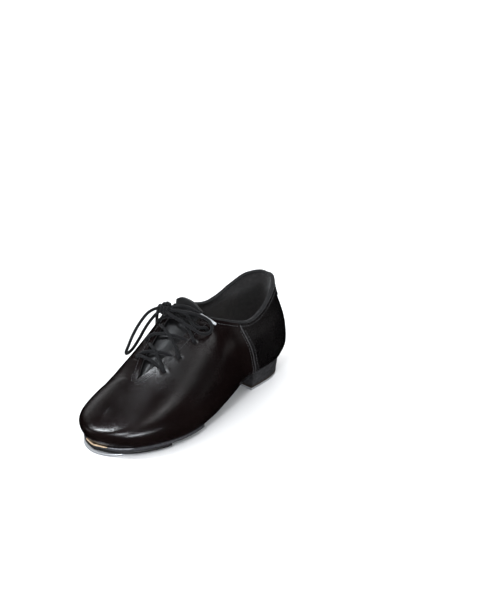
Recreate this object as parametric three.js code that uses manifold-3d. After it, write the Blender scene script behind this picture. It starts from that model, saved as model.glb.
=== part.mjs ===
// Left-foot lace-up jazz tap shoe with a split sole, one shoe, in millimetres.
// +Z is up, the toe points to -Y, the heel to +Y, and +X is the outer (little-toe) side.
// The tap plates rest on z = 0.
import * as THREE from 'three';

// ---------- driving dimensions (mm) ----------
const PLATE_T = 2.4;            // aluminium tap plate thickness
const BOARD_Z0 = 2.7, BOARD_Z1 = 5.2;    // fibre board between toe tap and outsole
const OUTSOLE_Z0 = 5.5, OUTSOLE_Z1 = 8.3; // forefoot rubber outsole
const HEEL_BOARD_Z0 = 2.7, HEEL_BOARD_Z1 = 4.2; // tan fibre lift above the heel tap
const HEEL_Z0 = 4.5, HEEL_Z1 = 20.7;     // stacked heel block
const LEATHER = 1.3;            // upper leather thickness
const STIFF_IN = 1.6, STIFF_OUT = 2.6;   // stiffener layer, depth below the outer face
const LINING_IN = 2.9, LINING_OUT = 3.6; // lining layer, depth below the outer face
const INSOLE_IN = 1.6, INSOLE_OUT = 3.4; // forefoot insole board, height above the sole leather
const SOCK_IN = 3.8, SOCK_OUT = 5.2;     // sock liner
const LACE_D = 3.0;             // round cotton lace
const TAP_SCREWS = [[20.5, -61.5], [-25.5, -61.5], [-5.0, -110.5]];
const HEEL_SCREWS = [[0, 108.5], [17.5, 69.5], [-17.5, 69.5]];
const HEEL_NAILS = [[0, 99], [10.5, 80], [-10.5, 80]];
const SCREW_HEAD_R = 3.5, SCREW_SHANK_R = 1.5;

// ---------- materials ----------
const mat = (color, roughness, metalness) => new THREE.MeshStandardMaterial({ color, roughness, metalness });
const M = {
  leather: () => mat(0x131112, 0.42, 0.0),
  lining: () => mat(0x24211f, 0.85, 0.0),
  stiff: () => mat(0x8a7458, 0.9, 0.0),
  rubber: () => mat(0x26272a, 0.8, 0.0),
  board: () => mat(0xb08a58, 0.8, 0.0),
  blackboard: () => mat(0x1a1818, 0.7, 0.0),
  heel: () => mat(0x252223, 0.75, 0.0),
  tap: () => mat(0xb9bcc0, 0.35, 1.0),
  steel: () => mat(0x8d9094, 0.3, 1.0),
  lace: () => mat(0x0d0d0e, 0.9, 0.0),
  aglet: () => mat(0xcfd3d6, 0.2, 0.0),
  foam: () => mat(0x3a3733, 0.95, 0.0),
};

// ---------- the last: one row per station from heel back (q=0) round to the toe tip (q=1) ----------
// q, feather x y z, bulge out, height of the widest line, top edge x y z, top tangent x y z, rise angle at the feather
const OUTER = [
  [0.000, 0.0, 118.5, 21.0, 7.0, 17.0, 0.0, 117.5, 95.5, 0.0, -0.10, 1.0, 62],
  [0.055, 13.7, 115.0, 21.0, 6.8, 17.0, 9.0, 115.0, 96.0, 0.02, -0.10, 1.0, 62],
  [0.110, 23.8, 106.2, 21.0, 6.0, 17.0, 19.0, 105.0, 93.0, -0.12, -0.03, 1.0, 62],
  [0.170, 29.0, 92.5, 21.0, 5.0, 17.5, 24.8, 90.5, 85.0, -0.18, 0.00, 1.0, 60],
  [0.235, 30.5, 76.0, 21.0, 5.0, 18.0, 27.2, 75.0, 77.5, -0.22, 0.00, 1.0, 58],
  [0.300, 30.8, 61.5, 20.8, 6.0, 19.0, 28.2, 59.0, 75.2, -0.30, 0.00, 1.0, 52],
  [0.370, 32.0, 40.5, 17.4, 7.5, 20.0, 26.6, 41.5, 80.5, -0.42, 0.00, 0.9, 50],
  [0.440, 35.0, 21.5, 12.6, 8.5, 19.5, 20.2, 25.0, 87.5, -0.75, 0.00, 0.66, 50],
  [0.505, 39.5, 3.0, 9.6, 7.0, 18.0, 11.5, 12.0, 91.0, -0.90, 0.00, 0.45, 55],
  [0.565, 43.5, -14.7, 8.6, 5.6, 16.0, 7.4, -6.0, 82.0, -1.00, 0.02, 0.40, 62],
  [0.625, 46.8, -33.3, 8.6, 4.2, 14.5, 6.0, -25.0, 72.0, -1.00, 0.00, 0.34, 68],
  [0.690, 46.8, -53.0, 8.6, 3.8, 14.0, 2.4, -46.0, 60.6, -1.00, 0.00, 0.20, 70],
  [0.750, 43.0, -70.5, 8.6, 4.2, 13.6, -4.6, -62.0, 52.0, -1.00, 0.05, 0.02, 70],
  [0.810, 36.5, -86.6, 8.6, 4.6, 13.2, -5.0, -74.5, 45.5, -1.00, 0.25, 0.10, 70],
  [0.870, 27.4, -100.8, 8.6, 4.8, 12.8, -5.4, -87.0, 39.6, -1.00, 0.60, 0.24, 70],
  [0.935, 13.7, -112.6, 8.6, 5.2, 12.4, -5.8, -96.0, 35.6, -0.80, 1.20, 0.48, 68],
  [1.000, -6.0, -119.0, 8.6, 5.6, 12.0, -6.1, -101.0, 33.2, 0.00, 1.60, 0.66, 66],
];
const INNER = [
  [0.000, 0.0, 118.5, 21.0, 7.0, 17.0, 0.0, 117.5, 95.5, 0.0, -0.10, 1.0, 62],
  [0.055, -13.7, 115.0, 21.0, 6.8, 17.0, -9.0, 115.0, 96.0, -0.02, -0.10, 1.0, 62],
  [0.110, -23.4, 106.2, 21.0, 6.0, 17.0, -19.0, 105.0, 93.0, 0.12, -0.03, 1.0, 62],
  [0.170, -28.2, 92.5, 21.0, 5.0, 17.5, -24.8, 90.5, 86.0, 0.18, 0.00, 1.0, 60],
  [0.235, -28.8, 76.0, 21.0, 5.5, 19.0, -27.6, 75.0, 79.5, 0.22, 0.00, 1.0, 56],
  [0.300, -27.6, 61.5, 21.0, 7.0, 20.5, -28.8, 59.0, 77.5, 0.30, 0.00, 1.0, 50],
  [0.370, -25.2, 40.5, 19.4, 8.5, 22.0, -29.4, 41.5, 82.5, 0.42, 0.00, 0.9, 46],
  [0.440, -24.2, 21.5, 16.0, 9.5, 22.5, -28.6, 26.0, 89.5, 0.75, 0.00, 0.66, 46],
  [0.505, -26.0, 3.0, 12.2, 9.5, 21.5, -24.0, 13.0, 94.5, 0.90, 0.00, 0.50, 50],
  [0.565, -30.6, -14.7, 9.3, 8.0, 19.0, -19.4, -6.0, 86.5, 1.00, 0.02, 0.46, 58],
  [0.625, -36.0, -33.3, 8.6, 6.2, 16.5, -17.2, -25.0, 75.5, 1.00, 0.00, 0.40, 66],
  [0.690, -40.2, -53.0, 8.6, 5.0, 15.0, -12.0, -46.0, 62.6, 1.00, 0.00, 0.22, 70],
  [0.750, -41.4, -70.5, 8.6, 4.4, 13.8, -4.6, -62.0, 52.0, 1.00, 0.05, 0.02, 70],
  [0.810, -39.5, -86.6, 8.6, 4.4, 13.2, -5.0, -74.5, 45.5, 1.00, 0.25, 0.10, 70],
  [0.870, -34.0, -100.8, 8.6, 4.6, 12.8, -5.4, -87.0, 39.6, 1.00, 0.60, 0.24, 70],
  [0.935, -22.8, -112.6, 8.6, 5.0, 12.4, -5.8, -96.0, 35.6, 0.80, 1.20, 0.48, 68],
  [1.000, -6.0, -119.0, 8.6, 5.6, 12.0, -6.1, -101.0, 33.2, 0.00, 1.60, 0.66, 66],
];
const CENTRE_X = [[0, 0], [0.3, 0.5], [0.5, 3.5], [0.62, 3.5], [0.72, 1.5], [0.85, -2], [1, -6]];

function makeSpline(rows, k) {
  const x = rows.map(r => r[0]), y = rows.map(r => r[k]), n = x.length, m = new Array(n);
  for (let i = 1; i < n - 1; i++) {
    const a = (y[i + 1] - y[i]) / (x[i + 1] - x[i]), b = (y[i] - y[i - 1]) / (x[i] - x[i - 1]);
    m[i] = (a * (x[i] - x[i - 1]) + b * (x[i + 1] - x[i])) / (x[i + 1] - x[i - 1]);
  }
  m[0] = (y[1] - y[0]) / (x[1] - x[0]) * 1.5 - m[1] * 0.5;
  m[n - 1] = (y[n - 1] - y[n - 2]) / (x[n - 1] - x[n - 2]) * 1.5 - m[n - 2] * 0.5;
  return q => {
    let i = 0; while (i < n - 2 && q >= x[i + 1]) i++;
    const h = x[i + 1] - x[i], t = (q - x[i]) / h;
    return (2 * t ** 3 - 3 * t * t + 1) * y[i] + (t ** 3 - 2 * t * t + t) * h * m[i] + (-2 * t ** 3 + 3 * t * t) * y[i + 1] + (t ** 3 - t * t) * h * m[i + 1];
  };
}
const SPL = { 1: [], '-1': [] };
for (let k = 1; k <= 12; k++) { SPL[1][k] = makeSpline(OUTER, k); SPL[-1][k] = makeSpline(INNER, k); }
const centreX = makeSpline(CENTRE_X, 1);
const V3 = (x, y, z) => new THREE.Vector3(x, y, z);
const clamp = (x, a, b) => Math.max(a, Math.min(b, x));
function bez(a, b, c, d, t) {
  const s = 1 - t;
  return V3(0, 0, 0).addScaledVector(a, s ** 3).addScaledVector(b, 3 * s * s * t).addScaledVector(c, 3 * s * t * t).addScaledVector(d, t ** 3);
}
// Outer surface of the upper: side +1 outer or -1 inner, q along the shoe, v from the centre of the bottom (-1)
// over the feather edge (0) and the widest line (1) to the top edge (2).
function surf(side, q, v) {
  q = clamp(q, 0, 1);
  const S = SPL[side], g = k => (q >= 0.75 && k >= 6 && k <= 8 ? SPL[1] : S)[k](q);   // the two sides share the ridge of the toe
  const xf = g(1), yf = g(2), zf = g(3), bl = g(4), hm = g(5);
  const e = 1e-3, qa = Math.max(0, q - e), qb = Math.min(1, q + e);
  let tx = S[1](qb) - S[1](qa), ty = S[2](qb) - S[2](qa);
  const w0 = clamp(1 - q / 0.03, 0, 1), w1 = clamp(1 - (1 - q) / 0.03, 0, 1), w = Math.max(w0, w1);
  let n = Math.hypot(tx, ty); tx /= n; ty /= n;
  const ex = w0 > 0 ? side : (w1 > 0 ? -side : tx);
  tx = tx * (1 - w) + ex * w; ty *= (1 - w); n = Math.hypot(tx, ty); tx /= n; ty /= n;
  const O = V3(-ty * side, tx * side, 0), F = V3(xf, yf, zf), U = V3(0, 0, 1);
  const Mx = F.clone().addScaledVector(O, bl).addScaledVector(U, hm);
  const T = V3(g(6), g(7), g(8)), D = V3(g(9), g(10), g(11)).normalize();
  const fa = g(12), far = fa * Math.PI / 180;
  if (v >= 1) {
    const t = v - 1, H = Mx.distanceTo(T), vert = Math.abs(T.z - Mx.z);
    return bez(Mx, Mx.clone().addScaledVector(U, Math.max(vert * 0.55, H * 0.25)), T.clone().addScaledVector(D, -H * 0.42), T, t);
  }
  if (v >= 0) {
    const L = Mx.distanceTo(F), dF = O.clone().multiplyScalar(Math.cos(far)).addScaledVector(U, Math.sin(far));
    return bez(F, F.clone().addScaledVector(dF, L * 0.36), Mx.clone().addScaledVector(U, -L * 0.42), Mx, v);
  }
  const zb = (SPL[1][3](q) + SPL[-1][3](q)) / 2 - 0.0;
  const B = V3(centreX(q), yf > 60 ? 60 + (yf - 60) * 0.83 : (yf < -60 ? -60 + (yf + 60) * 0.9 : yf), zb), hB = F.distanceTo(B);
  const soft = clamp((66 - fa) / 26, 0, 1) * clamp((20.5 - zf) / 4, 0, 1);
  const dir = O.clone().multiplyScalar(1 - soft * 0.35).addScaledVector(U, soft * 0.35);
  return bez(B, B.clone().addScaledVector(F.clone().sub(B).multiply(V3(1, 1, 0)), 0.33), F.clone().addScaledVector(dir, -hB * 0.25), F, v + 1);
}
// Grid lines shared by every layer, so that stacked layers keep their spacing.
const QL = [0, .028, .055, .083, .11, .14, .17, .205, .235, .268, .30, .335, .37, .405, .44, .475, .505, .535, .565, .595, .625, .658, .69, .72, .75, .78, .81, .84, .87, .905, .935, .968, 1];
const VL = [-1, -.6, -.3, -.12, 0, .33, .66, 1, 1.22, 1.45, 1.65, 1.84, 2];
const SEAM_Q = 0.30;            // rear quarter seam
const skew = (Q, v) => Q + 0.058 * clamp(v / 2, 0, 1) * Math.exp(-(((Q - 0.30) / 0.075) ** 2));

// Closed shell solid from chosen cells of the grid, between two depths below the outer face.
function shell(cells, d0, d1, seamShift = 0, backGap = 0) {
  const pts = [], nrm = [], key = new Map(), tris = [];
  const id = (side, i, j) => {
    let q = skew(QL[i], VL[j]);
    if (seamShift && QL[i] === SEAM_Q) q += seamShift;
    const p = surf(side, q, VL[j]);
    if (backGap && i === 0) p.x += side * backGap;
    const k = `${Math.round(p.x * 200)},${Math.round(p.y * 200)},${Math.round(p.z * 200)}`;
    if (key.has(k)) return key.get(k);
    key.set(k, pts.length); pts.push(p); nrm.push(V3(0, 0, 0)); return pts.length - 1;
  };
  const add = (a, b, c) => {
    if (a === b || b === c || a === c) return;
    tris.push([a, b, c]);
  };
  // normals are taken from the whole surface around each vertex, so that neighbours agree
  const full = new Map();
  const fullNormal = (side, i, j) => {
    const P = (s, a, b) => surf(s, skew(QL[a], VL[b]), VL[b]);
    const n = V3(0, 0, 0), p = P(side, i, j);
    const tri = (a, b, c, s) => { const m = b.clone().sub(a).cross(c.clone().sub(a)); n.addScaledVector(m.normalize(), s); };
    const around = (s, ii, jj, sg) => {
      for (const [da, db] of [[1, 1], [-1, 1], [-1, -1], [1, -1]]) {
        const a = ii + da, b = jj + db;
        if (a < 0 || a >= QL.length || b < 0 || b >= VL.length) continue;
        tri(P(s, ii, jj), P(s, a, jj), P(s, ii, b), sg * da * db);
      }
    };
    around(side, i, j, -side);
    const onSeam = (j === 0) || (i === 0) || (i === QL.length - 1) || (j === VL.length - 1 && QL[i] >= 0.75);
    if (onSeam) around(-side, i, j, side);
    return n.normalize();
  };
  for (const [side, i, j] of cells) {
    const a = id(side, i, j), b = id(side, i + 1, j), c = id(side, i + 1, j + 1), d = id(side, i, j + 1);
    for (const [x, ii, jj] of [[a, i, j], [b, i + 1, j], [c, i + 1, j + 1], [d, i, j + 1]]) if (nrm[x].lengthSq() === 0) nrm[x].copy(fullNormal(side, ii, jj));
    if (side > 0) { add(a, b, c); add(a, c, d); } else { add(a, c, b); add(a, d, c); }
  }
  // orient outwards: the normals above point out when the triangle winding does
  const t0 = tris[Math.floor(tris.length / 2)], c0 = pts[t0[1]].clone().sub(pts[t0[0]]).cross(pts[t0[2]].clone().sub(pts[t0[0]]));
  const N = pts.length, pos = [];
  const flip = c0.dot(nrm[t0[0]]) < 0;
  const mid = V3(0, 0, 0); for (const p of pts) mid.addScaledVector(p, 1 / N);
  for (const d of [d0, d1]) for (let k = 0; k < N; k++) { const p = pts[k].clone().addScaledVector(nrm[k], -d); pos.push(p.x, p.y, p.z); }
  const idx = [], edges = new Map();
  for (const t of tris) {
    const [a, b, c] = flip ? [t[0], t[2], t[1]] : t;
    idx.push(a, b, c, N + a, N + c, N + b);
    for (const [u, w] of [[a, b], [b, c], [c, a]]) {
      const r = `${w},${u}`;
      if (edges.has(r)) edges.delete(r); else edges.set(`${u},${w}`, [u, w]);
    }
  }
  for (const [u, w] of edges.values()) idx.push(u, N + u, N + w, u, N + w, w);
  const g = new THREE.BufferGeometry();
  g.setAttribute('position', new THREE.Float32BufferAttribute(pos, 3)); g.setIndex(idx);
  g.computeVertexNormals();
  return g;
}
const qi = q => { let b = 0; QL.forEach((x, i) => { if (Math.abs(x - q) < Math.abs(QL[b] - q)) b = i; }); return b; };
const vi = v => { let b = 0; VL.forEach((x, i) => { if (Math.abs(x - v) < Math.abs(VL[b] - v)) b = i; }); return b; };
function cells(q0, q1, v0, v1, sides = [1, -1], keep = null) {
  const out = [];
  for (const s of sides) for (let i = qi(q0); i < qi(q1); i++) for (let j = vi(v0); j < vi(v1); j++) if (!keep || keep(s, i, j)) out.push([s, i, j]);
  return out;
}
// ---------- sole parts ----------
function feather(side, q) { return surf(side, q, 0); }
function outline(q0, q1, off, dz) {   // feather outline from q0 on the outer side round one end to q1 on the inner side
  const pts = [];
  return pts;
}
function shapeOf(pts) {
  let area = 0; pts.forEach((p, i) => { const r = pts[(i + 1) % pts.length]; area += p[0] * r[1] - r[0] * p[1]; });
  if (area < 0) pts = pts.slice().reverse();
  const s = new THREE.Shape(); s.setFromPoints(pts.map(p => new THREE.Vector2(p[0], p[1]))); return s; }
function circleHole(x, y, r, n = 12) {
  const h = new THREE.Path(); const p = [];
  for (let i = 0; i < n; i++) { const a = -2 * Math.PI * i / n; p.push(new THREE.Vector2(x + r * Math.cos(a), y + r * Math.sin(a))); }
  h.setFromPoints(p); return h;
}
function plate(pts, z0, z1, holes = [], holeR = 2, bevel = 0) {
  const s = shapeOf(pts); for (const [x, y, r] of holes) s.holes.push(circleHole(x, y, r ?? holeR));
  const g = new THREE.ExtrudeGeometry(s, { depth: z1 - z0 - 2 * bevel, bevelEnabled: bevel > 0, bevelThickness: bevel, bevelSize: bevel, bevelOffset: -bevel, bevelSegments: 1, steps: 1, curveSegments: 8 });
  g.translate(0, 0, z0 + bevel); return g;
}
// offset feather outline towards the outside by `off`
function toeOutline(qOuter, qInner, off, n = 15) {
  const pts = [];
  const step = (side, q) => {
    const p = feather(side, q), a = feather(side, Math.max(0, q - .01)), b = feather(side, Math.min(1, q + .01));
    let tx = b.x - a.x, ty = b.y - a.y; const l = Math.hypot(tx, ty); tx /= l; ty /= l;
    if (q > 0.995) { tx = -side; ty = 0; }
    return [p.x + -ty * side * off, p.y + tx * side * off];
  };
  for (let i = 0; i <= n; i++) pts.push(step(1, qOuter + (1 - qOuter) * i / n));
  for (let i = n - 1; i >= 0; i--) pts.push(step(-1, qInner + (1 - qInner) * i / n));
  return pts;
}
function arc(a, m, b, n) { // points strictly between a and b on the quadratic curve through control m
  const out = []; for (let i = 1; i < n; i++) { const t = i / n, s = 1 - t; out.push([s * s * a[0] + 2 * s * t * m[0] + t * t * b[0], s * s * a[1] + 2 * s * t * m[1] + t * t * b[1]]); } return out;
}
function heelOutline(off, breastY, dip, n = 9) {
  const pts = [], qb = 0.299;
  const step = (side, q) => {
    const p = feather(side, q), a = feather(side, Math.max(0, q - .01)), b = feather(side, q + .01);
    let tx = b.x - a.x, ty = b.y - a.y; const l = Math.hypot(tx, ty); tx /= l; ty /= l;
    if (q < 0.005) { tx = side; ty = 0; }
    return [p.x + -ty * side * off, Math.max(breastY, p.y + tx * side * off)];
  };
  for (let i = n; i >= 1; i--) pts.push(step(-1, qb * i / n));
  for (let i = 0; i <= n; i++) pts.push(step(1, qb * i / n));
  const a = pts[pts.length - 1], b = pts[0];
  pts.push(...arc(a, [(a[0] + b[0]) / 2, breastY + dip], b, 8));
  return pts;
}
const ring = (P) => P;
// ---------- round parts ----------
function lathe(profile, x, y, z, seg = 14) {
  const g = new THREE.LatheGeometry(profile.map(p => new THREE.Vector2(p[0], p[1])), seg);
  g.rotateX(Math.PI / 2); g.translate(x, y, z); return g;
}
function screw(x, y, zTop) { // pan head below, pointing up into the sole
  const R = SCREW_HEAD_R, r = SCREW_SHANK_R;
  return lathe([[0, 0.35], [R - .8, 0.35], [R, 0.9], [R, 1.6], [r, 2.3], [r, zTop - 1.2], [0, zTop]], x, y, 0, 12);
}
function tube(points, r, sides = 8, steps = 24, capped = true) {
  const curve = new THREE.CatmullRomCurve3(points.map(p => V3(...p)), false, 'centripetal');
  const s = new THREE.Shape(); const pp = [];
  for (let i = 0; i < sides; i++) { const a = 2 * Math.PI * i / sides; pp.push(new THREE.Vector2(r * Math.cos(a), r * Math.sin(a))); }
  s.setFromPoints(pp);
  return new THREE.ExtrudeGeometry(s, { steps, bevelEnabled: false, extrudePath: curve, curveSegments: 1 });
}
const group = new THREE.Group(); group.name = 'tap_shoe_left';
const CORD = new Set(['lace_loop_medial', 'lace_loop_lateral', 'lace_end_lateral', 'lace_end_medial', 'aglet_lateral', 'aglet_medial']);
function add(name, geo, material) { const m = new THREE.Mesh(geo, material); m.name = name; group.add(m); return m; }

// ---------- taps and sole ----------
const tapPts = [[-20, -116.2], [-8, -120.4], [4, -119.2], [13, -114.6], [19.5, -106.5], [24, -95], [27, -80], [28.2, -66], [26.5, -60.5], [21, -56.6],
  [10, -53.2], [-3, -52], [-15, -53], [-25.5, -56], [-31.5, -59.5], [-34, -65], [-35.2, -78], [-34.2, -94], [-30, -107]];
add('toe_tap_plate', plate(tapPts, 0, PLATE_T, TAP_SCREWS.map(s => [...s, SCREW_HEAD_R + .35]), 4, 0), M.tap());
{
  const o = toeOutline(.742, .742, .4, 12), a = o[o.length - 1], b = o[0];
  add('toe_tap_board', plate([...o, ...arc(a, [-1, -36], b, 10)], BOARD_Z0, BOARD_Z1, TAP_SCREWS, SCREW_SHANK_R + .4), M.blackboard());
}
{
  const o = toeOutline(.606, .640, .8, 17), a = o[o.length - 1], b = o[0];
  add('forefoot_outsole', plate([...o, ...arc(a, [-18, -22], [4, -19.5], 6), [4, -19.5], ...arc([4, -19.5], [30, -16.5], b, 6)], OUTSOLE_Z0, OUTSOLE_Z1, TAP_SCREWS, SCREW_SHANK_R + .4), M.rubber());
}
TAP_SCREWS.forEach(([x, y], i) => add(`toe_tap_screw_${i + 1}`, screw(x, y, 7.9), M.steel()));

// ---------- heel ----------
const HOLES = [...HEEL_SCREWS.map(s => [...s, SCREW_SHANK_R + .4]), ...HEEL_NAILS.map(s => [...s, 1.6])];
function taper(g, z0, z1, k0) { // narrower towards the floor, holes kept upright
  const p = g.attributes.position;
  for (let i = 0; i < p.count; i++) {
    const x = p.getX(i), y = p.getY(i);
    if (HOLES.some(h => Math.hypot(x - h[0], y - h[1]) < 4.2)) continue;
    const k = k0 + (1 - k0) * (p.getZ(i) - z0) / (z1 - z0);
    p.setX(i, x * k); p.setY(i, y > 75 ? 75 + (y - 75) * k : y);
  }
  return g;
}
add('heel_tap_plate', plate(heelOutline(-4.2, 58.3, 5), 0, PLATE_T, HEEL_SCREWS.map(s => [...s, SCREW_HEAD_R + .35]), 4, 0), M.tap());
add('heel_tap_board', plate(heelOutline(-3.8, 57.8, 5), HEEL_BOARD_Z0, HEEL_BOARD_Z1, HEEL_SCREWS, SCREW_SHANK_R + .4), M.board());
add('heel_block', taper(plate(heelOutline(-1.4, 57.5, 5), HEEL_Z0, HEEL_Z1, HOLES), HEEL_Z0, HEEL_Z1, .93), M.heel());
HEEL_SCREWS.forEach(([x, y], i) => add(`heel_tap_screw_${i + 1}`, screw(x, y, 12), M.steel()));
HEEL_NAILS.forEach(([x, y], i) => add(`heel_nail_${i + 1}`, lathe([[0, 9], [1.2, 11], [1.2, 23.1], [3, 23.1], [3, 23.6], [0, 23.6]], x, y, 0, 10), M.steel()));
const seatPts = [[-15, 64], [-18, 72], [-18.2, 84], [-16, 95], [-9, 104], [0, 106.5], [9, 104], [16, 95], [18.2, 84], [18, 72], [15, 64]];
add('heel_seat_board', plate(seatPts.slice().reverse(), 21.0, 22.8, HEEL_NAILS.map(s => [...s, 1.6])), M.stiff());

// ---------- upper ----------
add('vamp', shell(cells(.30, 1, -1, 2), 0, LEATHER, .0013), M.leather());
add('quarter_lateral', shell(cells(.0, .30, -.3, 2, [1]), 0, LEATHER, -.0013, .2), M.leather());
add('quarter_medial', shell(cells(.0, .30, -.3, 2, [-1]), 0, LEATHER, -.0013, .2), M.leather());
add('heel_counter', shell(cells(0, .235, .33, 1.65), STIFF_IN, STIFF_OUT), M.stiff());
add('toe_puff', shell(cells(.81, 1, .33, 2), STIFF_IN, STIFF_OUT), M.stiff());
add('facing_stay_lateral', shell(cells(.505, .72, 1.65, 2, [1]), STIFF_IN, STIFF_OUT), M.lining());
add('facing_stay_medial', shell(cells(.505, .72, 1.65, 2, [-1]), STIFF_IN, STIFF_OUT), M.lining());
add('vamp_lining', shell(cells(.30, 1, .33, 2), LINING_IN, LINING_OUT, .0013), M.lining());
add('quarter_lining', shell(cells(0, .30, .33, 2), LINING_IN, LINING_OUT, -.0013), M.lining());
add('forefoot_insole_board', shell(cells(.565, .968, -1, -.12), INSOLE_IN, INSOLE_OUT), M.stiff());
add('sock_liner', shell(cells(.055, .935, -1, -.12), SOCK_IN, SOCK_OUT), M.foam());

// ---------- collar binding, back tab, heel pad ----------
function normalAt(side, q, v) {
  const e = 2e-3, a = surf(side, Math.min(1, q + e), v), b = surf(side, Math.max(0, q - e), v);
  const v0 = Math.max(v - e, v > 1 ? 1 : -1), v1 = Math.min(2, v + e);
  const c = surf(side, q, v1), d = surf(side, q, v0);
  const n = a.sub(b).cross(c.sub(d)).normalize(); return n.multiplyScalar(-side);
}
const onto = (side, q, v, h) => surf(side, q, v).addScaledVector(normalAt(side, q, v), h);
// closed solid from rings of points (each ring closed, same count), capped at both ends
function rings(R) {
  const m = R[0].length, pos = [], idx = [];
  R.forEach(r => r.forEach(p => pos.push(p.x, p.y, p.z)));
  for (let i = 0; i < R.length - 1; i++) for (let j = 0; j < m; j++) {
    const a = i * m + j, b = i * m + (j + 1) % m, c = a + m, d = b + m; idx.push(a, b, d, a, d, c);
  }
  for (let j = 1; j < m - 1; j++) { idx.push(0, j + 1, j); const o = (R.length - 1) * m; idx.push(o, o + j, o + j + 1); }
  const g = new THREE.BufferGeometry(); g.setAttribute('position', new THREE.Float32BufferAttribute(pos, 3)); g.setIndex(idx); g.computeVertexNormals();
  let v = 0; const A = V3(0, 0, 0), B = V3(0, 0, 0), C = V3(0, 0, 0), P = g.attributes.position;
  for (let t = 0; t < idx.length; t += 3) { A.fromBufferAttribute(P, idx[t]); B.fromBufferAttribute(P, idx[t + 1]); C.fromBufferAttribute(P, idx[t + 2]); v += A.dot(B.clone().cross(C)); }
  if (v < 0) { for (let t = 0; t < idx.length; t += 3) [idx[t], idx[t + 1]] = [idx[t + 1], idx[t]]; g.setIndex(idx); }
  return g;
}
{
  const R = [], qs = [];
  const Q = [.500, .475, .44, .405, .37, .335, .30, .268, .235, .205, .17, .14, .11, .083, .055, .028];
  Q.forEach(q => qs.push([1, q])); qs.push([1, 0]); Q.slice().reverse().forEach(q => qs.push([-1, q]));
  for (const [side, q] of qs) {
    const qq = skew(q, 2), T = surf(side, qq, 2), n = q === 0 ? V3(0, 1, 0) : normalAt(side, qq, 2), D = T.clone().sub(surf(side, qq, 1.94)).normalize();
    const c = T.clone().addScaledVector(D, 1.75).addScaledVector(n, -1.8), r = [];
    for (let k = 0; k < 8; k++) { const a = Math.PI * 2 * k / 8; r.push(c.clone().addScaledVector(n, 2.7 * Math.cos(a)).addScaledVector(D, 1.3 * Math.sin(a))); }
    R.push(r);
  }
  add('topline_binding', rings(R), M.lining());
}
add('back_tab', shell(cells(0, .055, 1.65, 2), -1.3, -.35), M.leather());
add('heel_pad', plate([[-14, 66], [-16.5, 73], [-16.5, 84], [-14.5, 94], [-8, 102], [0, 104.5], [8, 102], [14.5, 94], [16.5, 84], [16.5, 73], [14, 66]].reverse(), 23.9, 24.4), M.foam());

// ---------- tongue ----------
function sheetSolid(G, t) { // grid of points, thickness t on the underside
  const n = G.length, m = G[0].length, nor = G.map((r, i) => r.map((p, j) => {
    const a = G[Math.min(n - 1, i + 1)][j].clone().sub(G[Math.max(0, i - 1)][j]), b = r[Math.min(m - 1, j + 1)].clone().sub(r[Math.max(0, j - 1)]);
    const k = a.cross(b).normalize(); return k.z < 0 ? k.negate() : k;
  }));
  const R = G.map((r, i) => [...r, ...r.map((p, j) => p.clone().addScaledVector(nor[i][j], -t)).reverse()]);
  const h = rings(R.map(r => r));
  // end caps as strips rather than fans
  const pos = [], idx = [], w = 2 * m; R.forEach(r => r.forEach(p => pos.push(p.x, p.y, p.z)));
  for (let i = 0; i < n - 1; i++) for (let j = 0; j < w; j++) { const a = i * w + j, b = i * w + (j + 1) % w, c = a + w, d = b + w; idx.push(a, b, d, a, d, c); }
  for (let j = 0; j < m - 1; j++) { const a = j, b = j + 1, c = w - 1 - j, d = w - 2 - j, o = (n - 1) * w; idx.push(a, d, b, a, c, d, o + a, o + b, o + d, o + a, o + d, o + c); }
  const g = new THREE.BufferGeometry(); g.setAttribute('position', new THREE.Float32BufferAttribute(pos, 3)); g.setIndex(idx);
  let v = 0; const A = V3(0, 0, 0), B = V3(0, 0, 0), C = V3(0, 0, 0), P = g.attributes.position;
  for (let k = 0; k < idx.length; k += 3) { A.fromBufferAttribute(P, idx[k]); B.fromBufferAttribute(P, idx[k + 1]); C.fromBufferAttribute(P, idx[k + 2]); v += A.dot(B.clone().cross(C)); }
  if (v < 0) for (let k = 0; k < idx.length; k += 3) [idx[k], idx[k + 1]] = [idx[k + 1], idx[k]];
  g.setIndex(idx); g.computeVertexNormals(); return g;
}
function tongueSection(q, m = 11) {
  const d = -4.4, a = onto(1, q, 1.6, d), b = onto(1, q, 1.99, d), c = onto(-1, q, 1.99, d), e = onto(-1, q, 1.6, d);
  const gap = b.distanceTo(c), mid = b.clone().add(c).multiplyScalar(.5).add(V3(0, 0, 3.2 * clamp(gap / 16, 0, 1)));
  const cv = new THREE.CatmullRomCurve3([a, b, mid, c, e], false, 'centripetal');
  return Array.from({ length: m }, (_, i) => cv.getPoint(i / (m - 1)));
}
const TQ = [.735, .71, .68, .65, .62, .59, .565, .54];
const TG = TQ.map(q => tongueSection(q));
const tongueMid = V3(-7.2, 4, 88), LIFT = V3(-4.2, 8.5, 17.5);
function topSection(k, round, m = 9) {
  const d = -4.4, a = onto(1, .54, 1.6, d), b = onto(1, .54, 1.99, d), c = onto(-1, .54, 1.99, d), e = onto(-1, .54, 1.6, d);
  const cv = new THREE.CatmullRomCurve3([a, b, b.clone().add(c).multiplyScalar(.5).add(V3(0, 0, 3.2)), c, e], false, 'centripetal');
  return Array.from({ length: m }, (_, i) => {
    const s = -1 + 2 * i / (m - 1), r = cv.getPoint(.5 + .19 * s);
    r.x = -7 + (r.x + 7) * (1 + .45 * k) + 3.5 * k; return r.addScaledVector(LIFT, k - round * Math.abs(s) ** 2.4);
  });
}
add('tongue', sheetSolid(TG, 1.8), M.leather());
const TOP = [topSection(.04, 0), topSection(.3, .02), topSection(.6, .06), topSection(.85, .14), topSection(1, .24)];
add('tongue_top', sheetSolid(TOP, 1.8), M.leather());

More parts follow.
